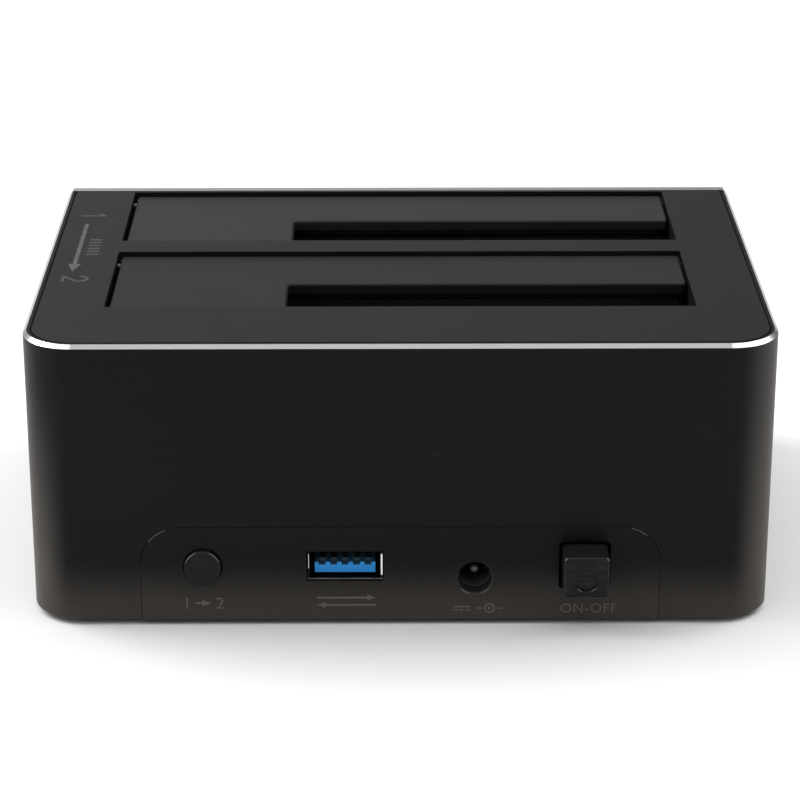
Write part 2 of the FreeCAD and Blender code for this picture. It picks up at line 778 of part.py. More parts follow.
def make_base_plate():
    """The base: a plate inside the wrap's foot, with vents, foot seats and counterbored screw holes."""
    body = new_body("BasePlate")
    extrude(body, "plate", "XY_Plane", "0", "base_thick", lambda s: outline(s, [
        ("-inner_x + base_gap", "wrap_depth - base_gap"),
        ("-inner_x + base_gap", "shell_wall + base_gap", "corner_radius - shell_wall - base_gap"),
        ("io_left - io_lip - base_gap", "shell_wall + base_gap"),
        ("io_left - io_lip - base_gap", "io_back + base_gap"),
        ("io_right + io_lip + base_gap", "io_back + base_gap"),
        ("io_right + io_lip + base_gap", "shell_wall + base_gap"),
        ("inner_x - base_gap", "shell_wall + base_gap", "corner_radius - shell_wall - base_gap"),
        ("inner_x - base_gap", "wrap_depth - base_gap"),
    ]))

    def screws(made, radius="screw_hole"):
        for sign in ("-", ""):
            ring(made, f"{sign}post_x", "post_near_y", radius)
            ring(made, f"{sign}post_x", "post_far_y", radius)
            ring(made, f"{sign}lug_x", "lug_y", radius)

    def seats(made):
        for sign in ("-", ""):
            ring(made, f"{sign}foot_x", "foot_near_y", "foot_radius + foot_play")
            ring(made, f"{sign}foot_x", "foot_far_y", "foot_radius + foot_play")

    extrude(body, "screw_holes", "XY_Plane", "-1", "base_thick + 2", screws, cut=True)
    extrude(body, "counterbores", "XY_Plane", "-1", "1 + head_height + head_sink",
            lambda s: screws(s, "head_radius + head_room"), cut=True)
    extrude(body, "foot_seats", "XY_Plane", "-1", "1 + foot_seat", seats, cut=True)
    vent = extrude(body, "vent", "XY_Plane", "-1", "base_thick + 2", lambda s: [
        rectangle(s, "-vent_span / 2", y, "-vent_span / 2 + vent_width", f"{y} + vent_length")
        for y in ("vent_near_y", "vent_far_y")], cut=True)
    row = body.newObject("PartDesign::LinearPattern", "vents")
    row.Originals = [vent]
    row.Direction = (vent.Profile[0], ["H_Axis"])
    row.setExpression("Length", named("vent_span - vent_width"))
    row.setExpression("Occurrences", named("vent_count"))
    body.Tip = row
    doc.recompute()
    return keep(body, "base_plate")


def make_rubber_feet():
    feet = []
    for side in ("-", ""):
        for end in ("near", "far"):
            name = f"foot_{'left' if side else 'right'}_{end}"
            disc = rod(name, "z", f"{side}foot_x", f"foot_{end}_y", "-foot_drop",
                       "foot_radius", "foot_drop + foot_seat")
            soft = doc.addObject("Part::Chamfer", name + "_edge")
            soft.Base = disc
            doc.recompute()
            low = num("-foot_drop")
            rim = [i for i, e in enumerate(disc.Shape.Edges, start=1) if level_edge(e, low)]
            soft.Edges = [(i, num("edge_break"), num("edge_break")) for i in rim]
            feet.append(soft)
    return keep(group("RubberFeet", feet), "rubber_feet")


def screw(name, x, y, z, radius, length, head, head_height):
    """A pan screw that points up, its head's underside at z."""
    return fuse(name, [
        rod(name + "_shank", "z", x, y, z, radius, length),
        rod(name + "_head", "z", x, y, f"{z} - {head_height}", head, head_height),
    ])


def make_screws():
    """The base, frame and board screws, each set in one node."""
    base, frame, board = [], [], []
    for side in ("-", ""):
        hand = "left" if side else "right"
        for place, x, y in (("near", "post_x", "post_near_y"), ("far", "post_x", "post_far_y"),
                            ("lug", "lug_x", "lug_y")):
            base.append(screw(f"base_screw_{hand}_{place}", side + x, y, "head_height + head_sink",
                              "screw_radius", "screw_length", "head_radius", "head_height"))
        for place in ("near", "far"):
            frame.append(screw(f"frame_screw_{hand}_{place}", side + "ear_hole_x", f"ear_{place}_y",
                               "ear_level - ear_thick", "small_screw", "frame_screw_length",
                               "small_head", "small_head_height"))
        for place in ("near", "far"):
            board.append(screw(f"board_screw_{hand}_{place}", side + "board_hole_x",
                               f"board_hole_{place}", "board_bottom", "small_screw", "board_screw_length",
                               "small_head", "small_head_height"))
    keep(group("BaseScrews", base), "base_screws")
    keep(group("FrameScrews", frame), "frame_screws")
    keep(group("BoardScrews", board), "board_screws")


# ---------------------------------------------------------------- flaps
def make_flap(label, pitches):
    """An L-shaped flap about its hinge axis: rounded plate, stiffening ribs, two barrels, a spring pocket."""
    body = new_body(label)
    extrude(body, "plate", "XY_Plane", "flap_under", "flap_thick", lambda s: outline(s, [
        ("flap_left", "flap_near", "flap_corner"),
        ("flap_slot_x", "flap_near", "flap_corner"),
        ("flap_slot_x", "flap_slot_y", "flap_corner"),
        ("flap_right", "flap_slot_y", "flap_corner * 1.5"),
        ("flap_right", "flap_far", "flap_corner / 2"),
        ("flap_left", "flap_far", "flap_corner / 2"),
    ]))
    top = num("axis_below_top")
    dress(body, "Fillet", "soft_edge", lambda e: level_edge(e, top), "flap_round")

    def ribs(made):
        lip, deep = "flap_rib_lip", "flap_rib_lip + flap_rib_width"
        rectangle(made, "flap_slot_x + flap_rib_end", f"flap_slot_y + {lip}",
                  "flap_right - flap_rib_end", f"flap_slot_y + {deep}")
        rectangle(made, "flap_left + flap_rib_end", f"flap_near + {lip}",
                  "flap_slot_x - flap_rib_end", f"flap_near + {deep}")
        rectangle(made, "spring_x + spring_room + flap_rib_end", "-flap_rib_back - flap_rib_width",
                  "flap_right - barrel_length - flap_rib_end", "-flap_rib_back")
        for x in ("flap_left + flap_rib_end", "flap_slot_x - flap_rib_end - flap_rib_width"):
            rectangle(made, x, f"flap_near + {deep} + flap_rib_width", f"{x} + flap_rib_width",
                      "-2 * flap_rib_back")

    extrude(body, "ribs", "XY_Plane", "flap_under - flap_rib", "flap_rib", ribs)
    barrel = lambda s: ring(s, "0", "0", "barrel_radius")
    extrude(body, "left_barrel", "YZ_Plane", "flap_left", "barrel_length", barrel)
    extrude(body, "right_barrel", "YZ_Plane", "flap_right - barrel_length", "barrel_length", barrel)
    bore = lambda s: ring(s, "0", "0", "pin_radius + pin_play")
    extrude(body, "left_bore", "YZ_Plane", "flap_left - 1", "barrel_length + 1", bore, cut=True)
    extrude(body, "right_bore", "YZ_Plane", "flap_right - barrel_length", "barrel_length + 1", bore, cut=True)
    extrude(body, "spring_pocket", "YZ_Plane", "spring_x", "spring_room", lambda s: rectangle(
        s, "-pocket_near", "flap_under - pocket_over",
        "flap_far + pocket_over", "axis_below_top - spring_skin"), cut=True)
    extrude(body, "leg_groove", "YZ_Plane", "spring_x + (spring_room + coil_length - groove_width) / 2",
            "groove_width", lambda s: rectangle(s, "-coil_radius - leg_out", "flap_under - pocket_over",
                                                "0", "axis_below_top - spring_skin"), cut=True)
    return keep(body, label, y=f"bay_far + {pitches} * bay_pitch - axis_inset", z="axis_z")


def make_flap_pins(label, pitches):
    """Two short steel pins: the left one also carries the spring."""
    left = rod(label + "_left", "x", "-bay_x - well_wall + pin_end_play", "0", "0", "pin_radius",
               "well_wall + flap_left_gap + barrel_length + spring_room - 4 * pin_end_play")
    right = rod(label + "_right", "x", "flap_right - barrel_length + pin_end_play", "0", "0", "pin_radius",
                "barrel_length + flap_right_gap + well_wall - 2 * pin_end_play")
    return keep(group(label.title(), [left, right]), label,
                y=f"bay_far + {pitches} * bay_pitch - axis_inset", z="axis_z")


def wire_section(centre, along, radius):
    """A six-sided section of spring wire, square to the wire's direction."""
    across = FreeCAD.Vector(0, 0, 1).cross(along).normalize()
    up = along.cross(across)
    points = []
    for i in range(7):
        angle = math.pi * i / 3
        points.append(centre + across * (radius * math.cos(angle)) + up * (radius * math.sin(angle)))
    return Part.makePolygon(points)


def make_flap_spring(label, pitches):
    """A torsion spring: a helix round the pin, one leg down the far wall, one leg out under the flap."""
    turns, length = num("coil_turns"), num("coil_length")
    radius, wire = num("coil_radius"), num("wire_radius")
    # The helix is drawn about Z from the X axis, then turned so that Z lies along X and X along Y.
    spine = Part.makeHelix(length / turns, length, radius)
    first, last = spine.Edges[0], spine.Edges[-1]
    begin = first.valueAt(first.FirstParameter)
    end = last.valueAt(last.LastParameter)
    into = first.tangentAt(first.FirstParameter).normalize()
    coil = Part.Wire(spine.Edges).makePipeShell([wire_section(begin, into, wire)], True, True)
    pieces = [coil]
    for place, way, reach in ((begin, FreeCAD.Vector(0, -1, 0), num("leg_down")),
                              (end, FreeCAD.Vector(-1, 0, 0), num("leg_out"))):
        start = place - way * LEG_ROOT
        section = Part.Face(wire_section(start, way, wire))
        pieces.append(section.extrude(way * (reach + LEG_ROOT)))
    turn = FreeCAD.Placement(
        FreeCAD.Vector(num("spring_x + (spring_room - coil_length) / 2"), 0, 0),
        FreeCAD.Rotation(FreeCAD.Vector(0, 1, 0), FreeCAD.Vector(0, 0, 1), FreeCAD.Vector(1, 0, 0), "ZXY"))
    made = doc.addObject("Part::Feature", label.title())
    made.Shape = pieces[0].fuse(pieces[1:]).transformGeometry(turn.toMatrix())
    return keep(made, label, y=f"bay_far + {pitches} * bay_pitch - axis_inset", z="axis_z")


# ---------------------------------------------------------------- port panel and its parts
def make_io_panel():
    """The moulded port panel: an insert flush with the wrap, a flange behind it and four openings."""
    body = new_body("IoPanel")
    extrude(body, "insert", "XZ_Plane", "0", "shell_wall", lambda s: outline(s, [
        ("io_left + io_seam", "0"),
        ("io_right - io_seam", "0"),
        ("io_right - io_seam", "io_top - io_seam", "io_corner - io_seam"),
        ("io_left + io_seam", "io_top - io_seam", "io_corner - io_seam"),
    ]))
    extrude(body, "flange", "XZ_Plane", "shell_wall", "io_flange", lambda s: outline(s, [
        ("io_left - io_lip", "0"),
        ("io_right + io_lip", "0"),
        ("io_right + io_lip", "io_top + io_lip", "io_corner + io_lip"),
        ("io_left - io_lip", "io_top + io_lip", "io_corner + io_lip"),
    ]))

    def openings(made):
        ring(made, "copy_x", "copy_z", "copy_hole")
        ring(made, "jack_x", "jack_z", "jack_hole")
        rectangle(made, "data_x - data_width / 2 - data_play", "data_z - data_height / 2 - data_play",
                  "data_x + data_width / 2 + data_play", "data_z + data_height / 2 + data_play",
                  "data_corner")
        rectangle(made, "power_x - power_window / 2", "power_z - power_window / 2",
                  "power_x + power_window / 2", "power_z + power_window / 2", "power_corner")

    extrude(body, "openings", "XZ_Plane", "-1", "io_back + 2", openings, cut=True)
    holes = (num("copy_hole"), num("jack_hole"))

    def mouth(edge):
        curve = edge.Curve
        return (flat_edge(edge, 0) and curve.TypeId == "Part::GeomCircle"
                and min(abs(curve.Radius - r) for r in holes) < 1e-4)

    dress(body, "Chamfer", "hole_breaks", mouth, "hole_break")
    return keep(body, "io_panel")


def make_copy_button():
    """The round start button: domed cap, retaining flange and stem."""
    cap = rod("copy_cap", "y", "copy_x", "-copy_proud", "copy_z", "copy_radius",
              "copy_proud + io_back + copy_behind")
    soft = doc.addObject("Part::Fillet", "copy_cap_edge")
    soft.Base = cap
    doc.recompute()
    front = num("-copy_proud")
    rim = [i for i, e in enumerate(cap.Shape.Edges, start=1) if flat_edge(e, front)]
    soft.Edges = [(i, num("edge_break"), num("edge_break")) for i in rim]
    flange = rod("copy_flange", "y", "copy_x", "io_back + plunger_play", "copy_z",
                 "copy_hole + copy_flange", "copy_flange_thick")
    stem = rod("copy_stem", "y", "copy_x", "io_back + plunger_play", "copy_z", "copy_stem",
               "tact_front - plunger_out - io_back - plunger_play")
    return keep(fuse("CopyButton", [soft, flange, stem]), "copy_button")


def make_tact_switch():
    """The tactile switch behind the round button, hung from the board, and its plunger."""
    block = box("tact_block", "copy_x - tact_width / 2", "tact_front", "board_bottom - tact_height",
                "tact_width", "tact_depth", "tact_height")
    hollow = rod("tact_hollow", "y", "copy_x", "tact_front - 1", "copy_z", "plunger_radius + plunger_play",
                 "2 + plunger_in")
    keep(cut("TactSwitch", block, hollow), "tact_switch")
    plunger = rod("TactPlunger", "y", "copy_x", "tact_front - plunger_out", "copy_z", "plunger_radius",
                  "plunger_out + plunger_in")
    keep(plunger, "tact_plunger", y="tact_front - plunger_out", z="copy_z")


def make_data_port():
    """The data receptacle: folded shield, blue tongue with notches on a rear block, and contact strips."""
    outer = box("shield_outer", "data_x - data_width / 2", "data_front", "data_z - data_height / 2",
                "data_width", "data_depth", "data_height")
    inner = box("shield_inner", "data_x - data_width / 2 + data_sheet", "data_front - 1",
                "data_z - data_height / 2 + data_sheet", "data_width - 2 * data_sheet",
                "data_depth + 2", "data_height - 2 * data_sheet")
    tube = cut("shield_tube", outer, inner)
    legs = [
        box(f"shield_leg_{side}_{i}", x, f"board_near + shield_leg_near + {i} * shield_leg_pitch",
            "data_z + data_height / 2 - shield_leg_lap", "data_sheet", "shield_leg",
            "board_bottom - data_z - data_height / 2 + shield_leg_lap")
        for side, x in (("left", "data_x - data_width / 2"),
                        ("right", "data_x + data_width / 2 - data_sheet"))
        for i in range(2)
    ]
    keep(fuse("DataShield", [tube] + legs), "data_port_shell")

    tongue = box("tongue_plate", "data_x - tongue_width / 2", "tongue_front", "data_z - tongue_thick",
                 "tongue_width", "data_front + data_depth - tongue_front - tongue_inset", "tongue_thick")
    block_near = "data_front + data_depth - tongue_inset - tongue_block"
    block = box("tongue_block", "data_x - data_width / 2 + data_sheet", block_near,
                "data_z - data_height / 2 + data_sheet", "data_width - 2 * data_sheet", "tongue_block",
                "data_height - 2 * data_sheet")
    columns = [f"data_x + ({i} - (notch_count - 1) / 2) * tongue_pitch"
               for i in range(int(SIZES["notch_count"]))]
    notches = [
        box(f"tongue_notch_{i}", f"{column} - notch_width / 2", "tongue_front - 1",
            "data_z - notch_height", "notch_width", "1 + notch_depth", "notch_height + 1")
        for i, column in enumerate(columns)
    ]
    solid = fuse("tongue_solid", [tongue, block])
    keep(cut("DataTongue", solid, fuse("tongue_notches", notches)), "data_port_tongue")

    strips = [
        box(f"strip_{i}", f"{column} - strip_width / 2", "tongue_front + strip_start",
            "data_z", "strip_width",
            f"{block_near} - tongue_inset - tongue_front - strip_start", "strip_thick")
        for i, column in enumerate(columns)
    ]
    keep(group("DataContacts", strips), "data_port_contacts")


def make_power_inlet():
    """The barrel inlet: housing, centre pin and side spring contact."""
    block = box("jack_block", "jack_x - jack_width / 2", "jack_front", "jack_z - jack_below",
                "jack_width", "jack_depth + jack_back", "board_bottom - jack_z + jack_below")
    bore = rod("jack_bore_tool", "y", "jack_x", "jack_front - 1", "jack_z", "jack_bore", "jack_depth + 1")
    keep(cut("JackBody", block, bore), "dc_jack_body")
    pin = rod("jack_pin_rod", "y", "jack_x", "jack_pin_front", "jack_z", "jack_pin",
              "jack_floor - jack_pin_front")
    tip = doc.addObject("Part::Fillet", "JackPin")
    tip.Base = pin
    doc.recompute()
    front = num("jack_pin_front")
    rim = [i for i, e in enumerate(pin.Shape.Edges, start=1) if flat_edge(e, front)]
    tip.Edges = [(i, num("jack_pin_round"), num("jack_pin_round")) for i in rim]
    keep(tip, "dc_jack_pin")
    leaf = box("JackLeaf", "jack_x - leaf_width / 2", "jack_floor - leaf_length", "leaf_z",
               "leaf_width", "leaf_length", "leaf_thick")
    keep(leaf, "dc_jack_contact", y="jack_floor - leaf_length", z="leaf_z")


def make_power_switch():
    """The square push button, its stem and the latching switch that hangs from the board."""
    body = new_body("PowerButton")
    extrude(body, "cap", "XZ_Plane", "-power_proud", "power_proud + power_behind", lambda s: rectangle(
        s, "power_x - power_width / 2", "power_z - power_height / 2",
        "power_x + power_width / 2", "power_z + power_height / 2", "power_corner"))
    front = num("-power_proud")
    dress(body, "Fillet", "cap_edge", lambda e: flat_edge(e, front), "power_round")
    extrude(body, "dish", "XZ_Plane", "-power_proud - 1", "1 + dish_depth", lambda s: ring(
        s, "power_x", "power_z - dish_drop", "dish_radius"), cut=True)
    extrude(body, "stem_socket", "XZ_Plane", "stem_front", "power_behind", lambda s: rectangle(
        s, "power_x - stem_width / 2 - stem_play", "power_z - stem_width / 2 - stem_play",
        "power_x + stem_width / 2 + stem_play", "power_z + stem_width / 2 + stem_play"), cut=True)
    keep(body, "power_button")

    stem = box("PowerStem", "power_x - stem_width / 2", "stem_front", "power_z - stem_width / 2",
               "stem_width", "switch_front + stem_in - stem_front", "stem_width")
    keep(stem, "power_stem", y="stem_front", z="power_z - stem_width / 2")

    block = box("switch_block", "power_x - switch_width / 2", "switch_front", "power_z - switch_below",
                "switch_width", "switch_depth", "board_bottom - power_z + switch_below")
    hollow = box("switch_hollow", "power_x - stem_half", "switch_front - 1", "power_z - stem_half",
                 "2 * stem_half", "1 + stem_in + power_travel + switch_spare", "2 * stem_half")
    keep(cut("PowerSwitch", block, hollow), "power_switch")


# ---------------------------------------------------------------- board and what it carries
def make_main_board():
    """The one printed board, screwed under the bay frame."""
    body = new_body("MainBoard")
    extrude(body, "board", "XY_Plane", "board_bottom", "board_thick", lambda s: rectangle(
        s, "-board_width / 2", "board_near", "board_width / 2", "board_far", "board_corner"))

    def holes(made):
        for sign in ("-", ""):
            for y in ("board_hole_near", "board_hole_far"):
                ring(made, f"{sign}board_hole_x", y, "small_hole")

    extrude(body, "board_holes", "XY_Plane", "board_bottom - 1", "board_thick + 2", holes, cut=True)
    return keep(body, "main_board")


def make_drive_socket(label, contacts_label, pitches):
    """A drive receptacle that stands on the board: body with two keyed slots, and its contact row."""
    centre = f"bay_near + {pitches} * bay_pitch + socket_in"
    body = new_body(label)
    extrude(body, "block", "XY_Plane", "board_top", "socket_height", lambda s: rectangle(
        s, "socket_x - socket_length / 2", f"{centre} - socket_width / 2",
        "socket_x + socket_length / 2", f"{centre} + socket_width / 2", "socket_corner"))

    def slots(made):
        low, high = f"{centre} - socket_slot / 2", f"{centre} + socket_slot / 2"
        key = f"{low} - key_depth"
        for x, span in (("slots_left", "power_slot"), ("slots_left + power_slot + slot_wall", "signal_slot")):
            outline(made, [
                (x, low),
                (f"{x} + {span} - key_width", low),
                (f"{x} + {span} - key_width", key),
                (f"{x} + {span}", key),
                (f"{x} + {span}", high),
                (x, high),
            ])

    extrude(body, "slots", "XY_Plane", "board_top + socket_height - slot_sink", "slot_sink + 1", slots,
            cut=True)
    keep(body, label)

    strips = []
    for left, count in (("slots_left", 15), ("slots_left + power_slot + slot_wall", 7)):
        for i in range(count):
            strips.append(box(f"{contacts_label}_{len(strips)}",
                              f"{left} + contact_inset + {i} * contact_pitch",
                              f"{centre} + socket_slot / 2 - contact_thick",
                              "board_top + socket_height - slot_sink",
                              "contact_width", "contact_thick", "slot_sink - contact_width"))
    return keep(group(contacts_label.title(), strips), contacts_label)


def make_chip(label, x, y, size, thick, pins, sides):
    """A flat package under the board with a row of leads on two or four sides."""
    package = box(label + "_package", f"{x} - {size} / 2", f"{y} - {size} / 2",
                  f"board_bottom - {thick} - chip_lift", size, size, thick)
    leads = []
    for side in range(sides):
        for i in range(pins):
            shift = f"({i} - ({pins} - 1) / 2) * lead_pitch - lead_width / 2"
            out = f"-{size} / 2 - lead_reach" if side % 2 else f"{size} / 2 - lead_root"
            spot, spans = (shift, out), ("lead_width", "lead_reach + lead_root")
            if side > 1:
                spot, spans = spot[::-1], spans[::-1]
            leads.append(box(f"{label}_lead_{side}_{i}", f"{x} + {spot[0]}", f"{y} + {spot[1]}",
                             "board_bottom - lead_thick", *spans, "lead_thick"))
    return keep(fuse(label.title(), [package] + leads), label)


def make_small_parts():
    """Crystal, coils and capacitors on the board, and the status lights with their light pipe."""
    low, near = "board_bottom - crystal_height", "crystal_y - crystal_width / 2"
    crystal = box("Crystal", "crystal_x - crystal_length / 2", near, low,
                  "crystal_length", "crystal_width", "crystal_height")
    keep(crystal, "crystal", y=near, z=low)
    coils = []
    for side in ("left", "right"):
        x = f"coil_{side}_x"
        block = box(f"coil_block_{side}", f"{x} - coil_width / 2", "coil_y - coil_width / 2",
                    "board_bottom - coil_height", "coil_width", "coil_width", "coil_height")
        drum = rod(f"coil_drum_{side}", "z", x, "coil_y", "board_bottom - coil_height - drum_proud",
                   "coil_drum", "2 * drum_proud")
        coils.append(fuse(f"coil_{side}", [block, drum]))
    keep(group("Inductors", coils), "inductors")
    cans = [rod(f"can_{i}", "z", x, "can_y", "board_top", "can_radius", "can_height")
            for i, x in enumerate(CAN_CENTRES)]
    keep(group("Capacitors", cans), "capacitors")
    columns = [f"({i} - (led_count - 1) / 2) * led_pitch" for i in range(int(SIZES["led_count"]))]
    lights = [box(f"light_{i}", f"{x} - led_width / 2", "bar_far - pipe_thick / 2 - led_depth / 2",
                  "board_bottom - led_height", "led_width", "led_depth", "led_height")
              for i, x in enumerate(columns)]
    keep(group("StatusLeds", lights), "status_leds")
    bar = box("pipe_bar", "-pipe_half", "bar_far - pipe_thick", "led_z - led_width", "2 * pipe_half",
              "pipe_thick", "board_bottom - led_height - pipe_play - led_z + led_width")
    rods = [rod(f"pipe_{i}", "y", x, "bar_far - pipe_root", "led_z", "led_radius",
                "shell_depth - bar_far + pipe_root - pipe_play")
            for i, x in enumerate(columns)]
    keep(fuse("LightPipe", [bar] + rods), "light_pipe")


make_shell()
make_front_plate()
make_top_panel()
make_bay_frame()
make_base_plate()
make_rubber_feet()
make_screws()
for bay, steps in BAYS.items():
    number = bay[-1]
    make_flap(f"flap_{number}", steps)
    make_flap_pins(f"flap_pins_{number}", steps)
    make_flap_spring(f"flap_spring_{number}", steps)
    make_drive_socket(f"drive_socket_{number}", f"socket_contacts_{number}", steps)
make_io_panel()
make_copy_button()
make_tact_switch()
make_data_port()
make_power_inlet()
make_power_switch()
make_main_board()
for chip, x, y, size, thick, pins, sides in CHIPS:
    make_chip(chip, x, y, size, thick, pins, sides)
make_small_parts()
doc.recompute()

# ---------------------------------------------------------------- checks and files
for item in doc.Objects:
    if "Invalid" in item.State or "Error" in item.State:
        raise RuntimeError(f"{item.Name} failed: {item.State}")
for item in nodes:
    if item.Shape.isNull() or not item.Shape.isValid() or not item.Shape.Solids:
        raise RuntimeError(f"{item.Label} is not a valid solid")

os.makedirs("parts", exist_ok=True)
for item in nodes:
    item.Shape.exportStep(os.path.join("parts", item.Label + ".step"))
print(len(nodes), "sub-parts")
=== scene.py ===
import json
import math

import bpy
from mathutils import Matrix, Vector


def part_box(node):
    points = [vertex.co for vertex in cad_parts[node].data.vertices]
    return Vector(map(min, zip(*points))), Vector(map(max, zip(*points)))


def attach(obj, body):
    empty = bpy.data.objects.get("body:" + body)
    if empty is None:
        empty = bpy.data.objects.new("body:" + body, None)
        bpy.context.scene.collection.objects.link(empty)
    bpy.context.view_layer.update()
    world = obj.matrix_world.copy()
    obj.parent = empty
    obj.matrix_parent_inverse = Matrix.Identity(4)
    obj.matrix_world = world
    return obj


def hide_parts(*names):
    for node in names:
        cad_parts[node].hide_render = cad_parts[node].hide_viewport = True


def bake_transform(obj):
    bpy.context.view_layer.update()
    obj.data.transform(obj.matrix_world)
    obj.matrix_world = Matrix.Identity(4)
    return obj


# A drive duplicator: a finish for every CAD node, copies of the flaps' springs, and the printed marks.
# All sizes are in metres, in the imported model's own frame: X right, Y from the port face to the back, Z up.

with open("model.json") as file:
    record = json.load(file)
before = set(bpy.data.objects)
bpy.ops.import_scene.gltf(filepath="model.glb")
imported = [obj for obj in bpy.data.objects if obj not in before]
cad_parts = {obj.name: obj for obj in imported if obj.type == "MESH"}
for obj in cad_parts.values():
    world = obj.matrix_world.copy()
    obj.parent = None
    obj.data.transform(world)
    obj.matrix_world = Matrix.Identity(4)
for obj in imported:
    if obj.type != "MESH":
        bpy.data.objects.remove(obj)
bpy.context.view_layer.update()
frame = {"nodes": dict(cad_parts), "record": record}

MM = 0.001
scene = bpy.context.scene
nodes = frame["nodes"]

shell_low, shell_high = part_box("shell")
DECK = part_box("top_panel")[1].z
panel_low, panel_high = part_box("io_panel")
copy_low, copy_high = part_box("copy_button")
port_low, port_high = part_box("data_port_shell")
pin_low, pin_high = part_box("dc_jack_pin")
cap_low, cap_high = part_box("power_button")

PORT_FACE = shell_low.y
BASE_Z = shell_low.z
COPY_X = (copy_low.x + copy_high.x) / 2
DATA_X = (port_low.x + port_high.x) / 2
INLET_X = (pin_low.x + pin_high.x) / 2
INLET_Z = (pin_low.z + pin_high.z) / 2
POWER_X = (cap_low.x + cap_high.x) / 2
POWER_Z = (cap_low.z + cap_high.z) / 2


# ---------------------------------------------------------------- camera, floor and light
CAMERA_PLACE = Vector((-0.00266, -0.48716, 0.21918))
CAMERA_TILT = math.radians(68.345)
CAMERA_TURN = math.radians(-0.319)
CAMERA_LENS = 126.53
SENSOR = 36.0
CLIP_NEAR, CLIP_FAR = 0.01, 50

FLOOR_REACH = 6.0
FLOOR_TONE = 0.95

LIGHT_SIZE = 0.8
LIGHT_TARGET = Vector((0, 0, 0.02))
KEY_PLACE, KEY_POWER = (-0.9, 0.25, 0.9), 9
FILL_PLACE, FILL_POWER = (0.9, 0.3, 0.9), 5

# Strength of the room light: pairs run from the port side to the far side, or from left to right.
HORIZON = (0.25, 0.32)
HORIZON_LEFT_TO_RIGHT = (1.6, 0.5)
CEILING = (1.35, 1.2)
SIDES = 0.1

# The stretch of a direction's own X, Y or Z over which each of them changes.
HORIZON_DEPTH = (-0.6, 0.6)
HORIZON_WIDTH = (-0.4, 0.4)
CEILING_DEPTH = (-0.6, 0.3)
CEILING_RISE = (0.45, 0.9)
SIDES_REACH = (0.4, 0.9)


def add_camera():
    data = bpy.data.cameras.new("camera")
    data.sensor_width = SENSOR
    data.lens = CAMERA_LENS
    data.clip_start = CLIP_NEAR
    data.clip_end = CLIP_FAR
    camera = bpy.data.objects.new("camera", data)
    camera.location = CAMERA_PLACE
    camera.rotation_euler = (CAMERA_TILT, 0, CAMERA_TURN)
    scene.collection.objects.link(camera)
    scene.camera = camera


def add_area(name, place, power):
    """A soft square light that looks at the part."""
    data = bpy.data.lights.new(name, "AREA")
    data.shape = "SQUARE"
    data.size = LIGHT_SIZE
    data.energy = power
    light = bpy.data.objects.new(name, data)
    light.location = place
    light.rotation_euler = (LIGHT_TARGET - Vector(place)).to_track_quat("-Z", "Y").to_euler()
    scene.collection.objects.link(light)


def add_stage():
    """A pale floor that reaches far behind the part."""
    mesh = bpy.data.meshes.new("floor")
    corners = [(-FLOOR_REACH, -FLOOR_REACH, 0), (FLOOR_REACH, -FLOOR_REACH, 0),
               (FLOOR_REACH, FLOOR_REACH, 0), (-FLOOR_REACH, FLOOR_REACH, 0)]
    mesh.from_pydata(corners, [], [(0, 1, 2, 3)])
    floor = bpy.data.objects.new("floor", mesh)
    scene.collection.objects.link(floor)
    paint = bpy.data.materials.new("pale_floor")
    paint.use_nodes = True
    shader = paint.node_tree.nodes["Principled BSDF"]
    shader.inputs["Base Color"].default_value = (FLOOR_TONE, FLOOR_TONE, FLOOR_TONE, 1)
    shader.inputs["Roughness"].default_value = 1.0
    shader.inputs["Specular IOR Level"].default_value = 0.0
    mesh.materials.append(paint)


def add_world():
    """Soft room light by direction: a bright ceiling, brighter to the sides, over a dim horizon."""
    world = bpy.data.worlds.new("room")
    scene.world = world
    world.use_nodes = True
    tree = world.node_tree
    tree.nodes["Background"].inputs["Color"].default_value = (1, 1, 1, 1)
    where = tree.nodes.new("ShaderNodeTexCoord")
    split = tree.nodes.new("ShaderNodeSeparateXYZ")
    tree.links.new(where.outputs["Generated"], split.inputs[0])

    def ramp(source, low, high, to_low, to_high):
        node = tree.nodes.new("ShaderNodeMapRange")
        node.interpolation_type = "SMOOTHSTEP"
        for key, number in (("From Min", low), ("From Max", high), ("To Min", to_low), ("To Max", to_high)):
            node.inputs[key].default_value = number
        tree.links.new(source, node.inputs["Value"])
        return node.outputs["Result"]

    def join(operation, *sources):
        node = tree.nodes.new("ShaderNodeMath")
        node.operation = operation
        for socket, source in zip(node.inputs, sources):
            tree.links.new(source, socket)
        return node.outputs[0]

    horizon = join("MULTIPLY", ramp(split.outputs["Y"], *HORIZON_DEPTH, *HORIZON),
                   ramp(split.outputs["X"], *HORIZON_WIDTH, *HORIZON_LEFT_TO_RIGHT))
    ceiling = ramp(split.outputs["Y"], *CEILING_DEPTH, *CEILING)
    blend = tree.nodes.new("ShaderNodeMix")
    tree.links.new(ramp(split.outputs["Z"], *CEILING_RISE, 0, 1), blend.inputs["Factor"])
    tree.links.new(horizon, blend.inputs["A"])
    tree.links.new(ceiling, blend.inputs["B"])
    sides = ramp(join("ABSOLUTE", split.outputs["X"]), *SIDES_REACH, 0, SIDES)
    tree.links.new(join("ADD", blend.outputs["Result"], sides), tree.nodes["Background"].inputs["Strength"])


add_camera()
add_stage()
add_world()
add_area("key", KEY_PLACE, KEY_POWER)
add_area("fill", FILL_PLACE, FILL_POWER)
scene.view_settings.view_transform = "Standard"
scene.view_settings.look = "None"


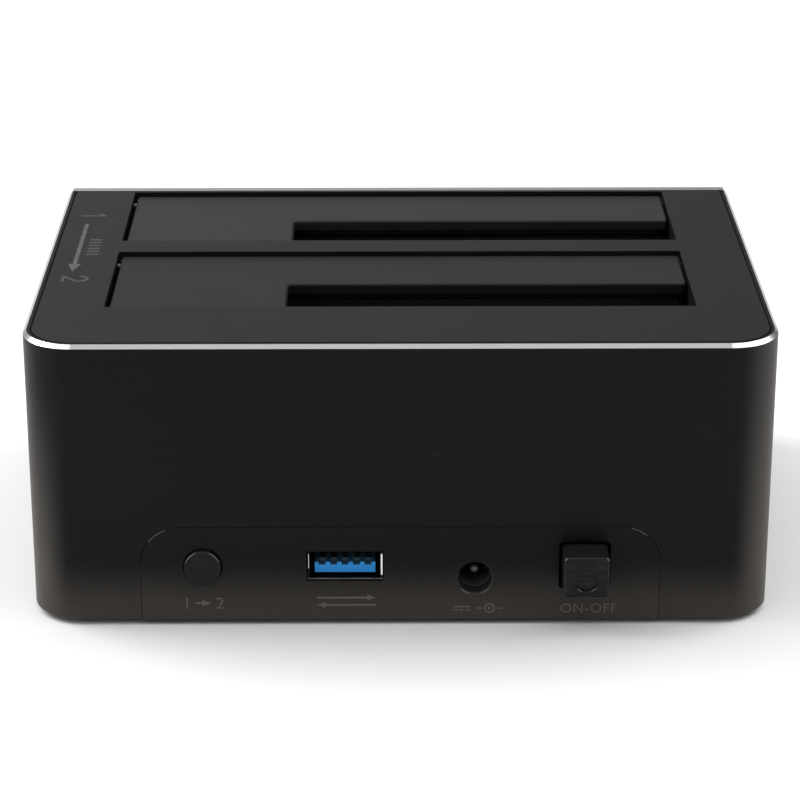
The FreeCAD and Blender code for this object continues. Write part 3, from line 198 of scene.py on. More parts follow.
# ---------------------------------------------------------------- material tools
class Paint:
    """A node tree round one Principled shader, with short names for the nodes it needs."""

    def __init__(self, name):
        self.material = bpy.data.materials.new(name)
        self.material.use_nodes = True
        self.tree = self.material.node_tree
        self.shader = self.tree.nodes["Principled BSDF"]
        self.coords = self.node("ShaderNodeTexCoord").outputs["Object"]
        self.relief = None

    def node(self, kind, **settings):
        made = self.tree.nodes.new(kind)
        for key, value in settings.items():
            setattr(made, key, value)
        return made

    def link(self, output, target):
        self.tree.links.new(output, target)

    def feed(self, socket, value):
        """Links an output to a socket, or sets a plain value on it."""
        if isinstance(value, bpy.types.NodeSocket):
            self.link(value, socket)
        else:
            socket.default_value = value

    def fixed(self, **values):
        """Plain values on the shader's own sockets."""
        for key, value in values.items():
            self.shader.inputs[key.replace("_", " ")].default_value = value

    def colour(self, value):
        self.feed(self.shader.inputs["Base Color"], value)

    def metallic(self, value):
        self.feed(self.shader.inputs["Metallic"], value)

    def roughness(self, value):
        self.feed(self.shader.inputs["Roughness"], value)

    def given(self, name):
        """What a shader socket takes so far."""
        return self.shader.inputs[name].links[0].from_socket

    def noise(self, scale, detail=3.0, rough=0.55, stretch=None):
        """Cloudy values round 0.5, with scale clouds to a metre."""
        source = self.coords
        if stretch:
            mapping = self.node("ShaderNodeMapping")
            mapping.inputs["Scale"].default_value = stretch
            self.link(source, mapping.inputs["Vector"])
            source = mapping.outputs["Vector"]
        made = self.node("ShaderNodeTexNoise")
        made.inputs["Scale"].default_value = scale
        made.inputs["Detail"].default_value = detail
        made.inputs["Roughness"].default_value = rough
        self.link(source, made.inputs["Vector"])
        return made.outputs["Fac"]

    def cells(self, scale):
        """The distance to the nearest of scattered points, with scale points to a metre along a line."""
        made = self.node("ShaderNodeTexVoronoi")
        made.inputs["Scale"].default_value = scale
        self.link(self.coords, made.inputs["Vector"])
        return made.outputs["Distance"]

    def span(self, value, low, high, to_low, to_high, smooth=False):
        """Maps a value from one range to another, held at its ends."""
        made = self.node("ShaderNodeMapRange")
        if smooth:
            made.interpolation_type = "SMOOTHSTEP"
        self.link(value, made.inputs["Value"])
        for key, number in (("From Min", low), ("From Max", high), ("To Min", to_low), ("To Max", to_high)):
            made.inputs[key].default_value = number
        return made.outputs["Result"]

    def vary(self, noise, low, high):
        """A number that wanders between two values with a noise, which mostly lies near its middle."""
        return self.span(noise, NOISE_LOW, NOISE_HIGH, low, high)

    def math(self, operation, a, b=0.0):
        made = self.node("ShaderNodeMath", operation=operation)
        self.feed(made.inputs[0], a)
        self.feed(made.inputs[1], b)
        return made.outputs[0]

    def above(self, value, limit):
        return self.math("GREATER_THAN", value, limit)

    def below(self, value, limit):
        return self.math("LESS_THAN", value, limit)

    def both(self, a, b):
        return self.math("MULTIPLY", a, b)

    def band(self, value, low, high):
        """1 where a value lies between two limits."""
        return self.both(self.above(value, low), self.below(value, high))

    def most(self, masks):
        """The union of several masks."""
        whole = masks[0]
        for mask in masks[1:]:
            whole = self.math("MAXIMUM", whole, mask)
        return whole

    def mix(self, fac, a, b):
        made = self.node("ShaderNodeMix", data_type="RGBA")
        self.feed(made.inputs["Factor"], fac)
        self.feed(made.inputs["A"], a)
        self.feed(made.inputs["B"], b)
        return made.outputs["Result"]

    def mix_number(self, fac, a, b):
        made = self.node("ShaderNodeMix", data_type="FLOAT")
        self.feed(made.inputs["Factor"], fac)
        self.feed(made.inputs["A"], a)
        self.feed(made.inputs["B"], b)
        return made.outputs["Result"]

    def split(self, vector=None):
        """The X, Y and Z of a vector, or of the point's own place."""
        made = self.node("ShaderNodeSeparateXYZ")
        self.link(vector or self.coords, made.inputs[0])
        return made.outputs

    def normal(self):
        """The X, Y and Z of the surface's direction."""
        return self.split(self.node("ShaderNodeTexCoord").outputs["Normal"])

    def flat(self, u, v):
        """A point on a flat face, for stroke and arc."""
        made = self.node("ShaderNodeCombineXYZ")
        self.link(u, made.inputs["X"])
        self.link(v, made.inputs["Y"])
        return made.outputs[0]

    def vector(self, operation, a, b, output="Vector"):
        made = self.node("ShaderNodeVectorMath", operation=operation)
        self.feed(made.inputs[0], a)
        self.feed(made.inputs["Scale" if operation == "SCALE" else 1], b)
        return made.outputs[output]

    def stroke(self, flat, start, end, width):
        """1 within half a width of the line between two points, with round ends."""
        start, end = Vector((*start, 0)), Vector((*end, 0))
        along = end - start
        offset = self.vector("SUBTRACT", flat, start)
        share = self.vector("DOT_PRODUCT", offset, along / along.length_squared, "Value")
        held = self.span(share, 0, 1, 0, 1)
        nearest = self.vector("SCALE", tuple(along), held)
        return self.below(self.vector("DISTANCE", offset, nearest, "Value"), width / 2)

    def arc(self, flat, centre, radius, width, middle, half):
        """1 on an arc about a centre that reaches half an angle to each side of its middle."""
        centre = Vector((*centre, 0))
        offset = self.vector("SUBTRACT", flat, centre)
        off_line = self.math("SUBTRACT", self.vector("LENGTH", offset, centre, "Value"), radius)
        ring = self.below(self.math("ABSOLUTE", off_line), width / 2)
        facing = (math.cos(middle), math.sin(middle), 0)
        ahead = self.vector("DOT_PRODUCT", offset, facing, "Value")
        return self.both(ring, self.above(ahead, radius * math.cos(half)))

    def bump(self, height, distance, strength=1.0):
        """Adds a layer of relief; the layers are chained."""
        made = self.node("ShaderNodeBump")
        made.inputs["Distance"].default_value = distance
        made.inputs["Strength"].default_value = strength
        self.link(height, made.inputs["Height"])
        if self.relief is not None:
            self.link(self.relief, made.inputs["Normal"])
        self.relief = made.outputs["Normal"]
        self.link(self.relief, self.shader.inputs["Normal"])


NOISE_LOW, NOISE_HIGH = 0.3, 0.7

# How far a face that is seen from the port side turns from it, as the Y of its normal.
BROKEN_EDGE = (-0.93, -0.3)
FLANK = (-0.3, 0.3)
LEANING = 0.3  # the least X or Z of the normal on a face that leans that way

# The height of the painted warm bounce of floor light at the foot of the walls and the port panel.
FOOT_BOUNCE_HEIGHT = 12 * MM
SPECK_SHARE = 0.62


def grey(value, warm=0.0):
    """A linear grey; warm raises its red and lowers its blue by that share."""
    return (value * (1 + warm), value, value * (1 - warm), 1)


def specks(paint, scale, size):
    """Sparse dust: 1 in a few small dots, else 0."""
    dots = paint.cells(scale)
    near = paint.below(dots, size * scale)
    where = paint.above(paint.noise(scale * 0.37, 0.0), SPECK_SHARE)
    return paint.both(near, where)


def painted_foot_bounce(paint):
    """1 at the foot of a wall and 0 from the bounce's height up: the mask of a painted warm bounce of floor
    light, which dulls the black there.
    """
    return paint.span(paint.split()["Z"], BASE_Z, BASE_Z + FOOT_BOUNCE_HEIGHT, 1, 0, smooth=True)


# ---------------------------------------------------------------- case
CHAMFER = (LEANING, 0.93)  # the Z of the normal on the wrap's cut chamfer
CHAMFER_DEPTH = 1.5 * MM
WRAP_CUT, PLATE_CUT = 0.35, 0.72
CUT_GAIN = 1.3
# Where the chamfer bends round the corners its metal is painted lighter: a painted highlight.
CUT_BEND_HIGHLIGHT = grey(0.9)
CUT_ROUGH = 0.28

WALL_BLACK = grey(0.002), grey(0.0032, 0.03)
# Painted warm bounce of floor light at the foot of the walls.
WALL_FOOT_BOUNCE = grey(0.04, 0.14)
# Painted reflection on the rounded corners.
WALL_CORNER_REFLECTION = grey(0.055, 0.1)
WALL_ROUGH = 0.4, 0.5

# The painted reflection on the rounded corners: where it starts from the port side, and what is left of it
# behind.
CORNER_NEAR, CORNER_FAR = 5 * MM, 16 * MM
CORNER_LEFT_OVER = 0.15
CORNER_END = 8 * MM
CORNER_TURN = (0.2, 0.75)
CORNER_ALOFT = 0.6

DUST_SIZE = 0.14 * MM
DUST_COUNT = 90
DUST_COVER = 0.6
DUST = grey(0.1)


def painted_corner_reflection(paint, side):
    """How far a painted reflection lifts the black on the rounded corners: more towards the foot, and on the
    right.
    """
    round_side = paint.span(paint.math("ABSOLUTE", side), *CORNER_TURN, 0, 1, smooth=True)
    aloft = paint.span(side, -0.5, 0.5, 0, CORNER_ALOFT)
    downward = paint.span(paint.split()["Z"], BASE_Z + CORNER_END, shell_high.z - CORNER_END, 1, 0)
    lifted = paint.mix_number(downward, aloft, 1.0)
    near, far = PORT_FACE + CORNER_NEAR, PORT_FACE + CORNER_FAR
    corner = paint.span(paint.split()["Y"], near, far, 1, CORNER_LEFT_OVER, smooth=True)
    return paint.both(round_side, paint.both(corner, lifted))


def anodised(name, plate=False):
    """Bead-blasted black anodise; the cut chamfers, and the far plate's top edge, show bright metal, painted
    lighter as a highlight where the chamfer bends round the corners. The black carries a painted warm bounce at
    the foot and a painted reflection on the rounded corners.
    """
    paint = Paint(name)
    paint.fixed(IOR=1.22, Sheen_Weight=0.08, Sheen_Roughness=0.4, Sheen_Tint=(1, 0.82, 0.74, 1))
    grain = paint.noise(6500, 2.0, 0.6)
    side = paint.normal()["X"]
    black = paint.mix(paint.vary(paint.noise(30), 0, 1), *WALL_BLACK)
    # Painted warm bounce of floor light at the foot.
    black = paint.mix(painted_foot_bounce(paint), black, WALL_FOOT_BOUNCE)
    # Painted reflection on the rounded corners.
    black = paint.mix(painted_corner_reflection(paint, side), black, WALL_CORNER_REFLECTION)
    black = paint.mix(paint.both(specks(paint, DUST_COUNT, DUST_SIZE), DUST_COVER), black, DUST)

    steep = paint.normal()["Z"]
    rim = paint.above(steep, LEANING) if plate else paint.band(steep, *CHAMFER)
    cut = paint.both(rim, paint.above(paint.split()["Z"], shell_high.z - CHAMFER_DEPTH))
    tone = PLATE_CUT if plate else WRAP_CUT
    bright = paint.mix(paint.noise(900, 2.0, 0.5, (1, 1, 12)), grey(tone), grey(tone * CUT_GAIN))
    # A painted highlight: the chamfer's metal turns lighter where it bends round the corners.
    turned = paint.math("ABSOLUTE", side)
    bend = paint.both(paint.span(turned, 0.0, 0.08, 0, 1), paint.span(turned, 0.45, 0.6, 1, 0))
    bright = paint.mix(bend, bright, CUT_BEND_HIGHLIGHT)

    paint.colour(paint.mix(cut, black, bright))
    paint.metallic(cut)
    paint.roughness(paint.mix_number(cut, paint.vary(grain, *WALL_ROUGH), CUT_ROUGH))
    paint.bump(grain, 0.01 * MM, 0.25)
    return paint.material


CLOUDS = 45, 4.0  # the noise of a moulding's slow changes: its scale and detail
GRAIN_SCALE = 5200
COARSE_GRAIN = 3000
GRAIN_ROUGH = 0.65
GRAIN_DEPTH = 0.02 * MM
MOTTLE = 0.12
SHEEN_CHANGE = 0.04


def finish_moulding(paint, tone, rough, grain_scale=GRAIN_SCALE, depth=GRAIN_DEPTH, ior=1.2):
    """Black moulded plastic: a fine spark-eroded grain with slight sheen changes."""
    paint.fixed(IOR=ior)
    cloud = paint.noise(*CLOUDS)
    paint.colour(paint.mix(cloud, grey(tone * (1 - MOTTLE)), grey(tone * (1 + MOTTLE))))
    paint.roughness(paint.vary(cloud, rough - SHEEN_CHANGE, rough + SHEEN_CHANGE))
    paint.bump(paint.noise(grain_scale, rough=GRAIN_ROUGH), depth, 0.35)


def moulded(name, tone, rough, **detail):
    paint = Paint(name)
    finish_moulding(paint, tone, rough, **detail)
    return paint.material


# ---------------------------------------------------------------- top panel and flaps
TOP_IOR, TOP_ROUGH = 1.3, 0.42
DECK_TONE, FLAP_1_TONE, FLAP_2_TONE = 0.008, 0.02, 0.013
DECK_SKIN = 0.1 * MM
# Painted shade along each flap's near edge, where it meets the bar: its width, tone and roughness.
FLAP_SHADE_WIDTH = 0.6 * MM
FLAP_SHADE_TONE, FLAP_SHADE_ROUGH = grey(0.002), 0.62

# The print on the top panel's left strip.
MARK_X = shell_low.x + 4.2 * MM
NUMERAL = 4.4 * MM
PEN = 0.58 * MM
BAY_1_MARK = 31.0 * MM
BAY_2_MARK = -6.2 * MM
ARROW_X = shell_low.x + 5.5 * MM
ARROW_FROM = 24.0 * MM
ARROW_TO = -3.6 * MM
ARROW_HEAD = 4.4 * MM
ARROW_SPREAD = 0.28
ARROW_WIDTH = 0.75 * MM
DASHES = 6
DASH_X = shell_low.x + 7.3 * MM
DASH_FROM = 6.2 * MM
DASH_PITCH = 1.7 * MM
DASH_LENGTH = 1.7 * MM
DASH_WIDTH = 0.7 * MM
DECK_INK = grey(0.1)
FAINT_PRINT = 0.7
WORN_PRINT = 0.55
TWO_LEAVES = math.radians(35)  # where the slant of a 2 leaves its bow, below the middle


def numeral_one(paint, flat, size, width):
    foot, head = (size * 0.4, 0), (size * 0.4, size)
    return [paint.stroke(flat, foot, head, width),
            paint.stroke(flat, head, (size * 0.14, size * 0.76), width)]


def numeral_two(paint, flat, size, width):
    radius = size * 0.3
    centre = (radius, size - radius)
    leave = (centre[0] + radius * math.cos(TWO_LEAVES), centre[1] - radius * math.sin(TWO_LEAVES))
    middle, half = math.pi / 2 - TWO_LEAVES / 2, math.pi / 2 + TWO_LEAVES / 2
    return [paint.arc(flat, centre, radius, width, middle, half),
            paint.stroke(flat, leave, (0, 0), width),
            paint.stroke(flat, (0, 0), (2 * radius, 0), width)]


def deck_plastic():
    """The top panel: moulded black with the bay order, 1 to 2, printed on its left strip.

    The print reads from the right, so a numeral's own right is -Y and its top is +X."""
    paint = Paint("top_plastic")
    finish_moulding(paint, DECK_TONE, TOP_ROUGH, ior=TOP_IOR)
    place = paint.split()

    def from_place(x, y):
        right = paint.math("SUBTRACT", y, place["Y"])
        up = paint.math("SUBTRACT", place["X"], x)
        return paint.flat(right, up)

    numerals = (numeral_one(paint, from_place(MARK_X, BAY_1_MARK), NUMERAL, PEN)
                + numeral_two(paint, from_place(MARK_X, BAY_2_MARK), NUMERAL, PEN))
    plain = paint.flat(place["X"], place["Y"])
    rows = [DASH_FROM + DASH_PITCH * i for i in range(DASHES)]
    dashes = [paint.stroke(plain, (DASH_X, y), (DASH_X + DASH_LENGTH, y), DASH_WIDTH) for y in rows]
    shaft = paint.stroke(plain, (ARROW_X, ARROW_FROM), (ARROW_X, ARROW_TO + ARROW_HEAD), ARROW_WIDTH)
    reach = paint.math("SUBTRACT", place["Y"], ARROW_TO)
    beside = paint.math("ABSOLUTE", paint.math("SUBTRACT", place["X"], ARROW_X))
    head = paint.both(paint.below(beside, paint.both(reach, ARROW_SPREAD)), paint.below(reach, ARROW_HEAD))

    arrow = paint.most([shaft, head])
    faint = paint.both(paint.most(numerals + dashes), FAINT_PRINT)
    top = paint.above(place["Z"], DECK - DECK_SKIN)
    worn = paint.span(paint.noise(1500), 0.3, 0.6, WORN_PRINT, 1)
    cover = paint.both(paint.both(paint.most([arrow, faint]), top), worn)
    paint.colour(paint.mix(cover, paint.given("Base Color"), DECK_INK))
    return paint.material


def flap_plastic(node, tone):
    """A bay flap: the deck's moulding, a little paler, with painted shade along its near edge, where it meets
    the bar.
    """
    paint = Paint(node + "_plastic")
    finish_moulding(paint, tone, TOP_ROUGH, ior=TOP_IOR)
    # Painted shade: a darker, rougher strip along the near edge.
    line = paint.below(paint.split()["Y"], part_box(node)[0].y + FLAP_SHADE_WIDTH)
    paint.colour(paint.mix(line, paint.given("Base Color"), FLAP_SHADE_TONE))
    paint.roughness(paint.mix_number(line, paint.given("Roughness"), FLAP_SHADE_ROUGH))
    return paint.material


# ---------------------------------------------------------------- port panel and its parts
PANEL_LIP = 1.5 * MM
PANEL_ROUND = 7.0 * MM
SEAM_HALF = 0.12 * MM
LEFT_GLINT, RIGHT_GLINT = 0.22 * MM, 0.2 * MM
INLET_ROUND = 3.2 * MM
INLET_GLINT = 0.14 * MM
FACE_SKIN = 0.3 * MM
PANEL_BLACK = grey(0.002, 0.04), grey(0.0035, 0.04)
# Painted warm bounce of floor light at the panel's foot.
PANEL_FOOT_BOUNCE = grey(0.045, 0.14)
# Painted highlight on the broken edges round the holes, and painted light on the holes' inner walls.
PANEL_EDGE_HIGHLIGHT = grey(0.04)
PANEL_HOLE_LIGHT = grey(0.03)
# The tone of the painted glints.
PANEL_GLINT_TONE = grey(0.14)

DISH_ROUND = 2.1 * MM
DISH_DROP = 0.45 * MM
DISH_GLINT = 0.13 * MM
CAP_BLACK = grey(0.003, 0.06), grey(0.013, 0.06)
# Painted light on the cap's faces that turn away from the port, and painted highlights on its bevel, lightest
# where it faces up and sideways.
CAP_FLANK_LIGHT = grey(0.016)
CAP_BEVEL_HIGHLIGHT, CAP_LIT_BEVEL_HIGHLIGHT = grey(0.02), grey(0.16)
# The tone of the painted highlights in the power cap's dish.
CAP_DISH_HIGHLIGHT = grey(0.2)
SMEAR_SLANT = math.radians(14)
SMEAR_SCALE, SMEAR_STRETCH = 420, (1, 1, 4)


def glint_arcs(paint, flat, centre, radius, width, half, turns):
    """Short arcs of one ring, each about a direction in degrees: the masks of painted glints."""
    return [paint.arc(flat, centre, radius, width, math.radians(turn), math.radians(half)) for turn in turns]


def port_plastic():
    """The port panel: the walls' black in plastic, with a painted warm bounce at its foot, glossy broken edges
    round its holes painted lighter as a highlight, painted light on the holes' inner walls, and painted glints
    at the seam's upper corners and on the inlet's rim.
    """
    paint = Paint("port_plastic")
    paint.fixed(IOR=1.22)
    cloud = paint.noise(*CLOUDS)
    black = paint.mix(cloud, *PANEL_BLACK)
    # Painted warm bounce of floor light at the foot.
    black = paint.mix(painted_foot_bounce(paint), black, PANEL_FOOT_BOUNCE)
    facing = paint.normal()["Y"]
    # The broken edges get a painted highlight, the holes' inner walls painted light.
    edge = paint.band(facing, *BROKEN_EDGE)
    inner = paint.band(facing, *FLANK)
    shade = paint.mix(inner, paint.mix(edge, black, PANEL_EDGE_HIGHLIGHT), PANEL_HOLE_LIGHT)

    place = paint.split()
    front = paint.flat(place["X"], place["Z"])
    inset = PANEL_LIP + PANEL_ROUND
    left_corner = (panel_low.x + inset, panel_high.z - inset)
    right_corner = (panel_high.x - inset, panel_high.z - inset)
    bend = PANEL_ROUND - SEAM_HALF
    # Painted glints: short arcs at the seam's upper corners and on the inlet's rim.
    glints = (glint_arcs(paint, front, left_corner, bend, LEFT_GLINT, 17, [127])
              + glint_arcs(paint, front, right_corner, bend, RIGHT_GLINT, 15, [62])
              + glint_arcs(paint, front, (INLET_X, INLET_Z), INLET_ROUND, INLET_GLINT, 14, [238, 308]))
    glint = paint.both(paint.most(glints), paint.below(place["Y"], PORT_FACE + FACE_SKIN))

    paint.colour(paint.mix(glint, shade, PANEL_GLINT_TONE))
    paint.roughness(paint.mix_number(edge, paint.vary(cloud, 0.4, 0.48), 0.25))
    paint.bump(paint.noise(GRAIN_SCALE, rough=GRAIN_ROUGH), GRAIN_DEPTH, 0.3)
    return paint.material


def smudged_button_with_highlights():
    """Smooth black cap plastic with slanting finger marks. The bevel is painted lighter as a highlight, most
    where it faces up and sideways; the faces turned from the port carry painted light, and short arcs in the
    power cap's dish are painted highlights.
    """
    paint = Paint("button_plastic")
    paint.fixed(IOR=1.25)
    mapping = paint.node("ShaderNodeMapping")
    mapping.inputs["Rotation"].default_value = (0, SMEAR_SLANT, 0)
    mapping.inputs["Scale"].default_value = SMEAR_STRETCH
    paint.link(paint.coords, mapping.inputs["Vector"])
    streak = paint.node("ShaderNodeTexNoise")
    streak.inputs["Scale"].default_value = SMEAR_SCALE
    streak.inputs["Detail"].default_value = 3
    paint.link(mapping.outputs["Vector"], streak.inputs["Vector"])
    smear = paint.span(streak.outputs["Fac"], 0.45, 0.7, 0, 1, smooth=True)
    black = paint.mix(smear, *CAP_BLACK)

    # Painted highlights on the bevel and painted light on the faces turned from the port.
    facing = paint.normal()
    edge = paint.band(facing["Y"], *BROKEN_EDGE)
    flank = paint.band(facing["Y"], *FLANK)
    slant = paint.above(paint.math("ABSOLUTE", facing["X"]), LEANING)
    lit = paint.both(slant, paint.above(facing["Z"], LEANING))
    worn = paint.mix(lit, CAP_BEVEL_HIGHLIGHT, CAP_LIT_BEVEL_HIGHLIGHT)

    place = paint.split()
    front = paint.flat(place["X"], place["Z"])
    # Painted highlights: short arcs low in the power cap's dish.
    dish = (POWER_X, POWER_Z - DISH_DROP)
    dish_highlight = paint.most(glint_arcs(paint, front, dish, DISH_ROUND, DISH_GLINT, 11, [236, 308]))
    face_with_highlights = paint.mix(dish_highlight, paint.mix(flank, black, CAP_FLANK_LIGHT), CAP_DISH_HIGHLIGHT)

    paint.colour(paint.mix(edge, face_with_highlights, worn))
    paint.roughness(paint.mix_number(edge, paint.mix_number(smear, 0.3, 0.45), 0.22))
    paint.bump(paint.noise(5000, 2.0), 0.01 * MM, 0.25)
    return paint.material


SHEARED_RIM = 0.08 * MM
RIM_TOP = port_low.z + 4.9 * MM
RIGHT_LIGHT = (port_low.z + 0.9 * MM, RIM_TOP)
LEFT_LIGHT = (port_low.z + 2.2 * MM, RIM_TOP)
RIGHT_EDGE = port_high.x - 0.34 * MM
LEFT_EDGE = (port_low.x + 0.16 * MM, port_low.x + 0.27 * MM)
LIP = (port_low.z + 0.13 * MM, port_low.z + 0.34 * MM)
# The sheet is darkened as painted shade inside the port; its sheared rim is painted shade, with painted
# highlights.
SHEET_IN_SHADE = grey(0.1), grey(0.16)
RIM_SHADE, RIM_HIGHLIGHT = grey(0.012), grey(1.0)


def shield_tin():
    """Plated sheet, darkened as painted shade inside the port. Its sheared rim is painted shade, with painted
    highlights on the right, the left inner edge and the lip.
    """
    paint = Paint("tin_shield")
    paint.fixed(Metallic=1.0)
    place = paint.split()
    rim = paint.below(place["Y"], port_low.y + SHEARED_RIM)
    lines = paint.noise(2500, 3.0, 0.6, (1, 8, 1))
    right = paint.both(paint.above(place["X"], RIGHT_EDGE), paint.band(place["Z"], *RIGHT_LIGHT))
    left = paint.both(paint.band(place["X"], *LEFT_EDGE), paint.band(place["Z"], *LEFT_LIGHT))
    lip_highlight_strength = paint.span(paint.noise(1400, 2.0), 0.35, 0.65, 0.07, 0.16)
    lip = paint.both(paint.band(place["Z"], *LIP), lip_highlight_strength)
    # Painted highlights on the rim's right side, left inner edge and lip.
    rim_highlight = paint.most([paint.both(right, 0.85), paint.both(left, 0.6), lip])
    paint.colour(paint.mix(rim, paint.mix(lines, *SHEET_IN_SHADE), paint.mix(rim_highlight, RIM_SHADE, RIM_HIGHLIGHT)))
    paint.roughness(paint.mix_number(rim, paint.vary(lines, 0.18, 0.3), 0.4))
    paint.bump(lines, 0.006 * MM, 0.4)
    return paint.material


TONGUE_TIP = 0.3 * MM
TONGUE_BLUE = (0.015, 0.25, 0.68, 1), (0.024, 0.31, 0.8, 1)
TONGUE_PAINTED_SHADE = (0.07, 0.17, 0.26, 1)


def blue_tongue():
    """The data port's tongue: clear blue on its tip, and painted a dusky shade where the shield shades it."""
    paint = Paint("tongue_blue")
    paint.fixed(IOR=1.3)
    cloud = paint.noise(260)
    blue = paint.mix(cloud, *TONGUE_BLUE)
    upward = paint.above(paint.normal()["Z"], 0.5)
    behind = paint.above(paint.split()["Y"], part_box("data_port_tongue")[0].y + TONGUE_TIP)
    # Painted shade on the upward faces and behind the tip.
    paint.colour(paint.mix(paint.most([upward, behind]), blue, TONGUE_PAINTED_SHADE))
    paint.roughness(paint.vary(cloud, 0.34, 0.42))
    paint.bump(paint.noise(4000, 2.0), 0.008 * MM, 0.3)
    return paint.material


# ---------------------------------------------------------------- metals, rubber and what is inside
EVEN = (1, 1, 1)
TRACK_PITCH = 1.27 * MM
TRACK_HALF = 0.35 * MM
LEAD_DEPTH = 0.45 * MM
POLARITY_BAND = 1.2 * MM

RUBBER_BLACK = grey(0.012), grey(0.022)
SOLDER_MASK = (0.006, 0.045, 0.022, 1), (0.012, 0.085, 0.035, 1)
CHIP_BLACK, CHIP_LEAD = grey(0.014), grey(0.66)
FERRITE_GREY = grey(0.05), grey(0.09)
CAN_ALUMINIUM = grey(0.55), grey(0.72)
CAN_BAND = grey(0.012)
LED_RESIN = (0.72, 0.72, 0.62, 1), (0.85, 0.85, 0.8, 1)
CLEAR_RESIN = (0.82, 0.85, 0.86, 1), (0.93, 0.95, 0.96, 1)
GOLD = (0.7, 0.48, 0.16, 1), (0.85, 0.62, 0.25, 1)
# Gold darkened as painted shade, for the contacts inside the data port.
SHADED_GOLD = (0.1, 0.085, 0.07, 1), (0.14, 0.12, 0.09, 1)


def metal(name, tone, rough, brush=EVEN):
    """Bare or plated metal, with fine lines along one direction."""
    paint = Paint(name)
    paint.fixed(Metallic=1.0)
    lines = paint.noise(2500, 3.0, 0.6, brush)
    paint.colour(paint.mix(paint.noise(200), grey(tone * 0.85), grey(tone)))
    paint.roughness(paint.vary(lines, rough - 0.06, rough + 0.08))
    paint.bump(lines, 0.006 * MM, 0.4)
    return paint.material


def tinted_metal(name, low, high, rough):
    """Plating whose colour drifts between two tints."""
    paint = Paint(name)
    paint.fixed(Metallic=1.0)
    cloud = paint.noise(400)
    paint.colour(paint.mix(cloud, low, high))
    paint.roughness(paint.vary(cloud, rough - 0.05, rough + 0.05))
    paint.bump(paint.noise(6000, 2.0), 0.004 * MM, 0.3)
    return paint.material


def rubber():
    """Dull soft rubber."""
    paint = Paint("foot_rubber")
    paint.fixed(IOR=1.5)
    cloud = paint.noise(180, 4.0)
    paint.colour(paint.mix(cloud, *RUBBER_BLACK))
    paint.roughness(paint.vary(cloud, 0.72, 0.86))
    paint.bump(paint.noise(2600, 4.0), 0.04 * MM, 0.5)
    return paint.material


def laminate():
    """Green solder mask over tracks, which run one way or the other in patches, and over poured copper."""
    paint = Paint("board_laminate")
    paint.fixed(IOR=1.5, Coat_Weight=0.4, Coat_Roughness=0.15)
    place = paint.split()
    across, along = (paint.below(paint.math("PINGPONG", place[axis], TRACK_PITCH), TRACK_HALF)
                     for axis in "XY")
    patch = paint.above(paint.noise(90, 0.0), 0.52)
    tracks = paint.mix_number(patch, across, along)
    poured = paint.above(paint.noise(60, 0.0), 0.56)
    copper = paint.most([paint.both(tracks, 0.8), poured])
    paint.colour(paint.mix(copper, *SOLDER_MASK))
    paint.roughness(paint.vary(paint.noise(500), 0.34, 0.46))
    paint.bump(copper, 0.04 * MM, 0.4)
    return paint.material


def chip_resin():
    """Moulded resin over tinned leads: what lies close to the board's underside is metal."""
    paint = Paint("chip_black")
    lead = paint.above(paint.split()["Z"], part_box("main_board")[0].z - LEAD_DEPTH)
    grain = paint.noise(3800)
    paint.colour(paint.mix(lead, CHIP_BLACK, CHIP_LEAD))
    paint.metallic(lead)
    paint.roughness(paint.mix_number(lead, paint.vary(grain, 0.55, 0.68), 0.35))
    paint.bump(grain, 0.02 * MM, 0.4)
    return paint.material


def ferrite():
    """Pressed ferrite, a little rough."""
    paint = Paint("coil_ferrite")
    cloud = paint.noise(700, 4.0)
    paint.colour(paint.mix(cloud, *FERRITE_GREY))
    paint.roughness(paint.vary(cloud, 0.6, 0.75))
    paint.bump(cloud, 0.05 * MM, 0.5)
    return paint.material


def capacitor_can():
    """Bare aluminium cans with a dark polarity band down one side."""
    paint = Paint("capacitor_sleeve")
    turned = paint.noise(2200, 2.0, 0.5, (1, 1, 0.1))
    band = paint.below(paint.split()["Y"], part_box("capacitors")[0].y + POLARITY_BAND)
    paint.colour(paint.mix(band, paint.mix(turned, *CAN_ALUMINIUM), CAN_BAND))
    paint.metallic(paint.math("SUBTRACT", 1.0, band))
    paint.roughness(paint.vary(turned, 0.3, 0.42))
    paint.bump(turned, 0.01 * MM, 0.3)
    return paint.material


def led_resin():
    """Milky resin over an unlit diode."""
    paint = Paint("led_lens")
    paint.fixed(IOR=1.5, Subsurface_Weight=0.2)
    cloud = paint.noise(900, 2.0)
    paint.colour(paint.mix(cloud, *LED_RESIN))
    paint.roughness(paint.vary(cloud, 0.2, 0.32))
    return paint.material


def clear_plastic():
    """Frosted clear moulding that carries the lights to the front plate."""
    paint = Paint("clear_pipe")
    paint.fixed(IOR=1.49, Transmission_Weight=0.75)
    cloud = paint.noise(500)
    paint.colour(paint.mix(cloud, *CLEAR_RESIN))
    paint.roughness(paint.vary(cloud, 0.16, 0.3))
    paint.bump(paint.noise(3000, 2.0), 0.01 * MM, 0.3)
    return paint.material


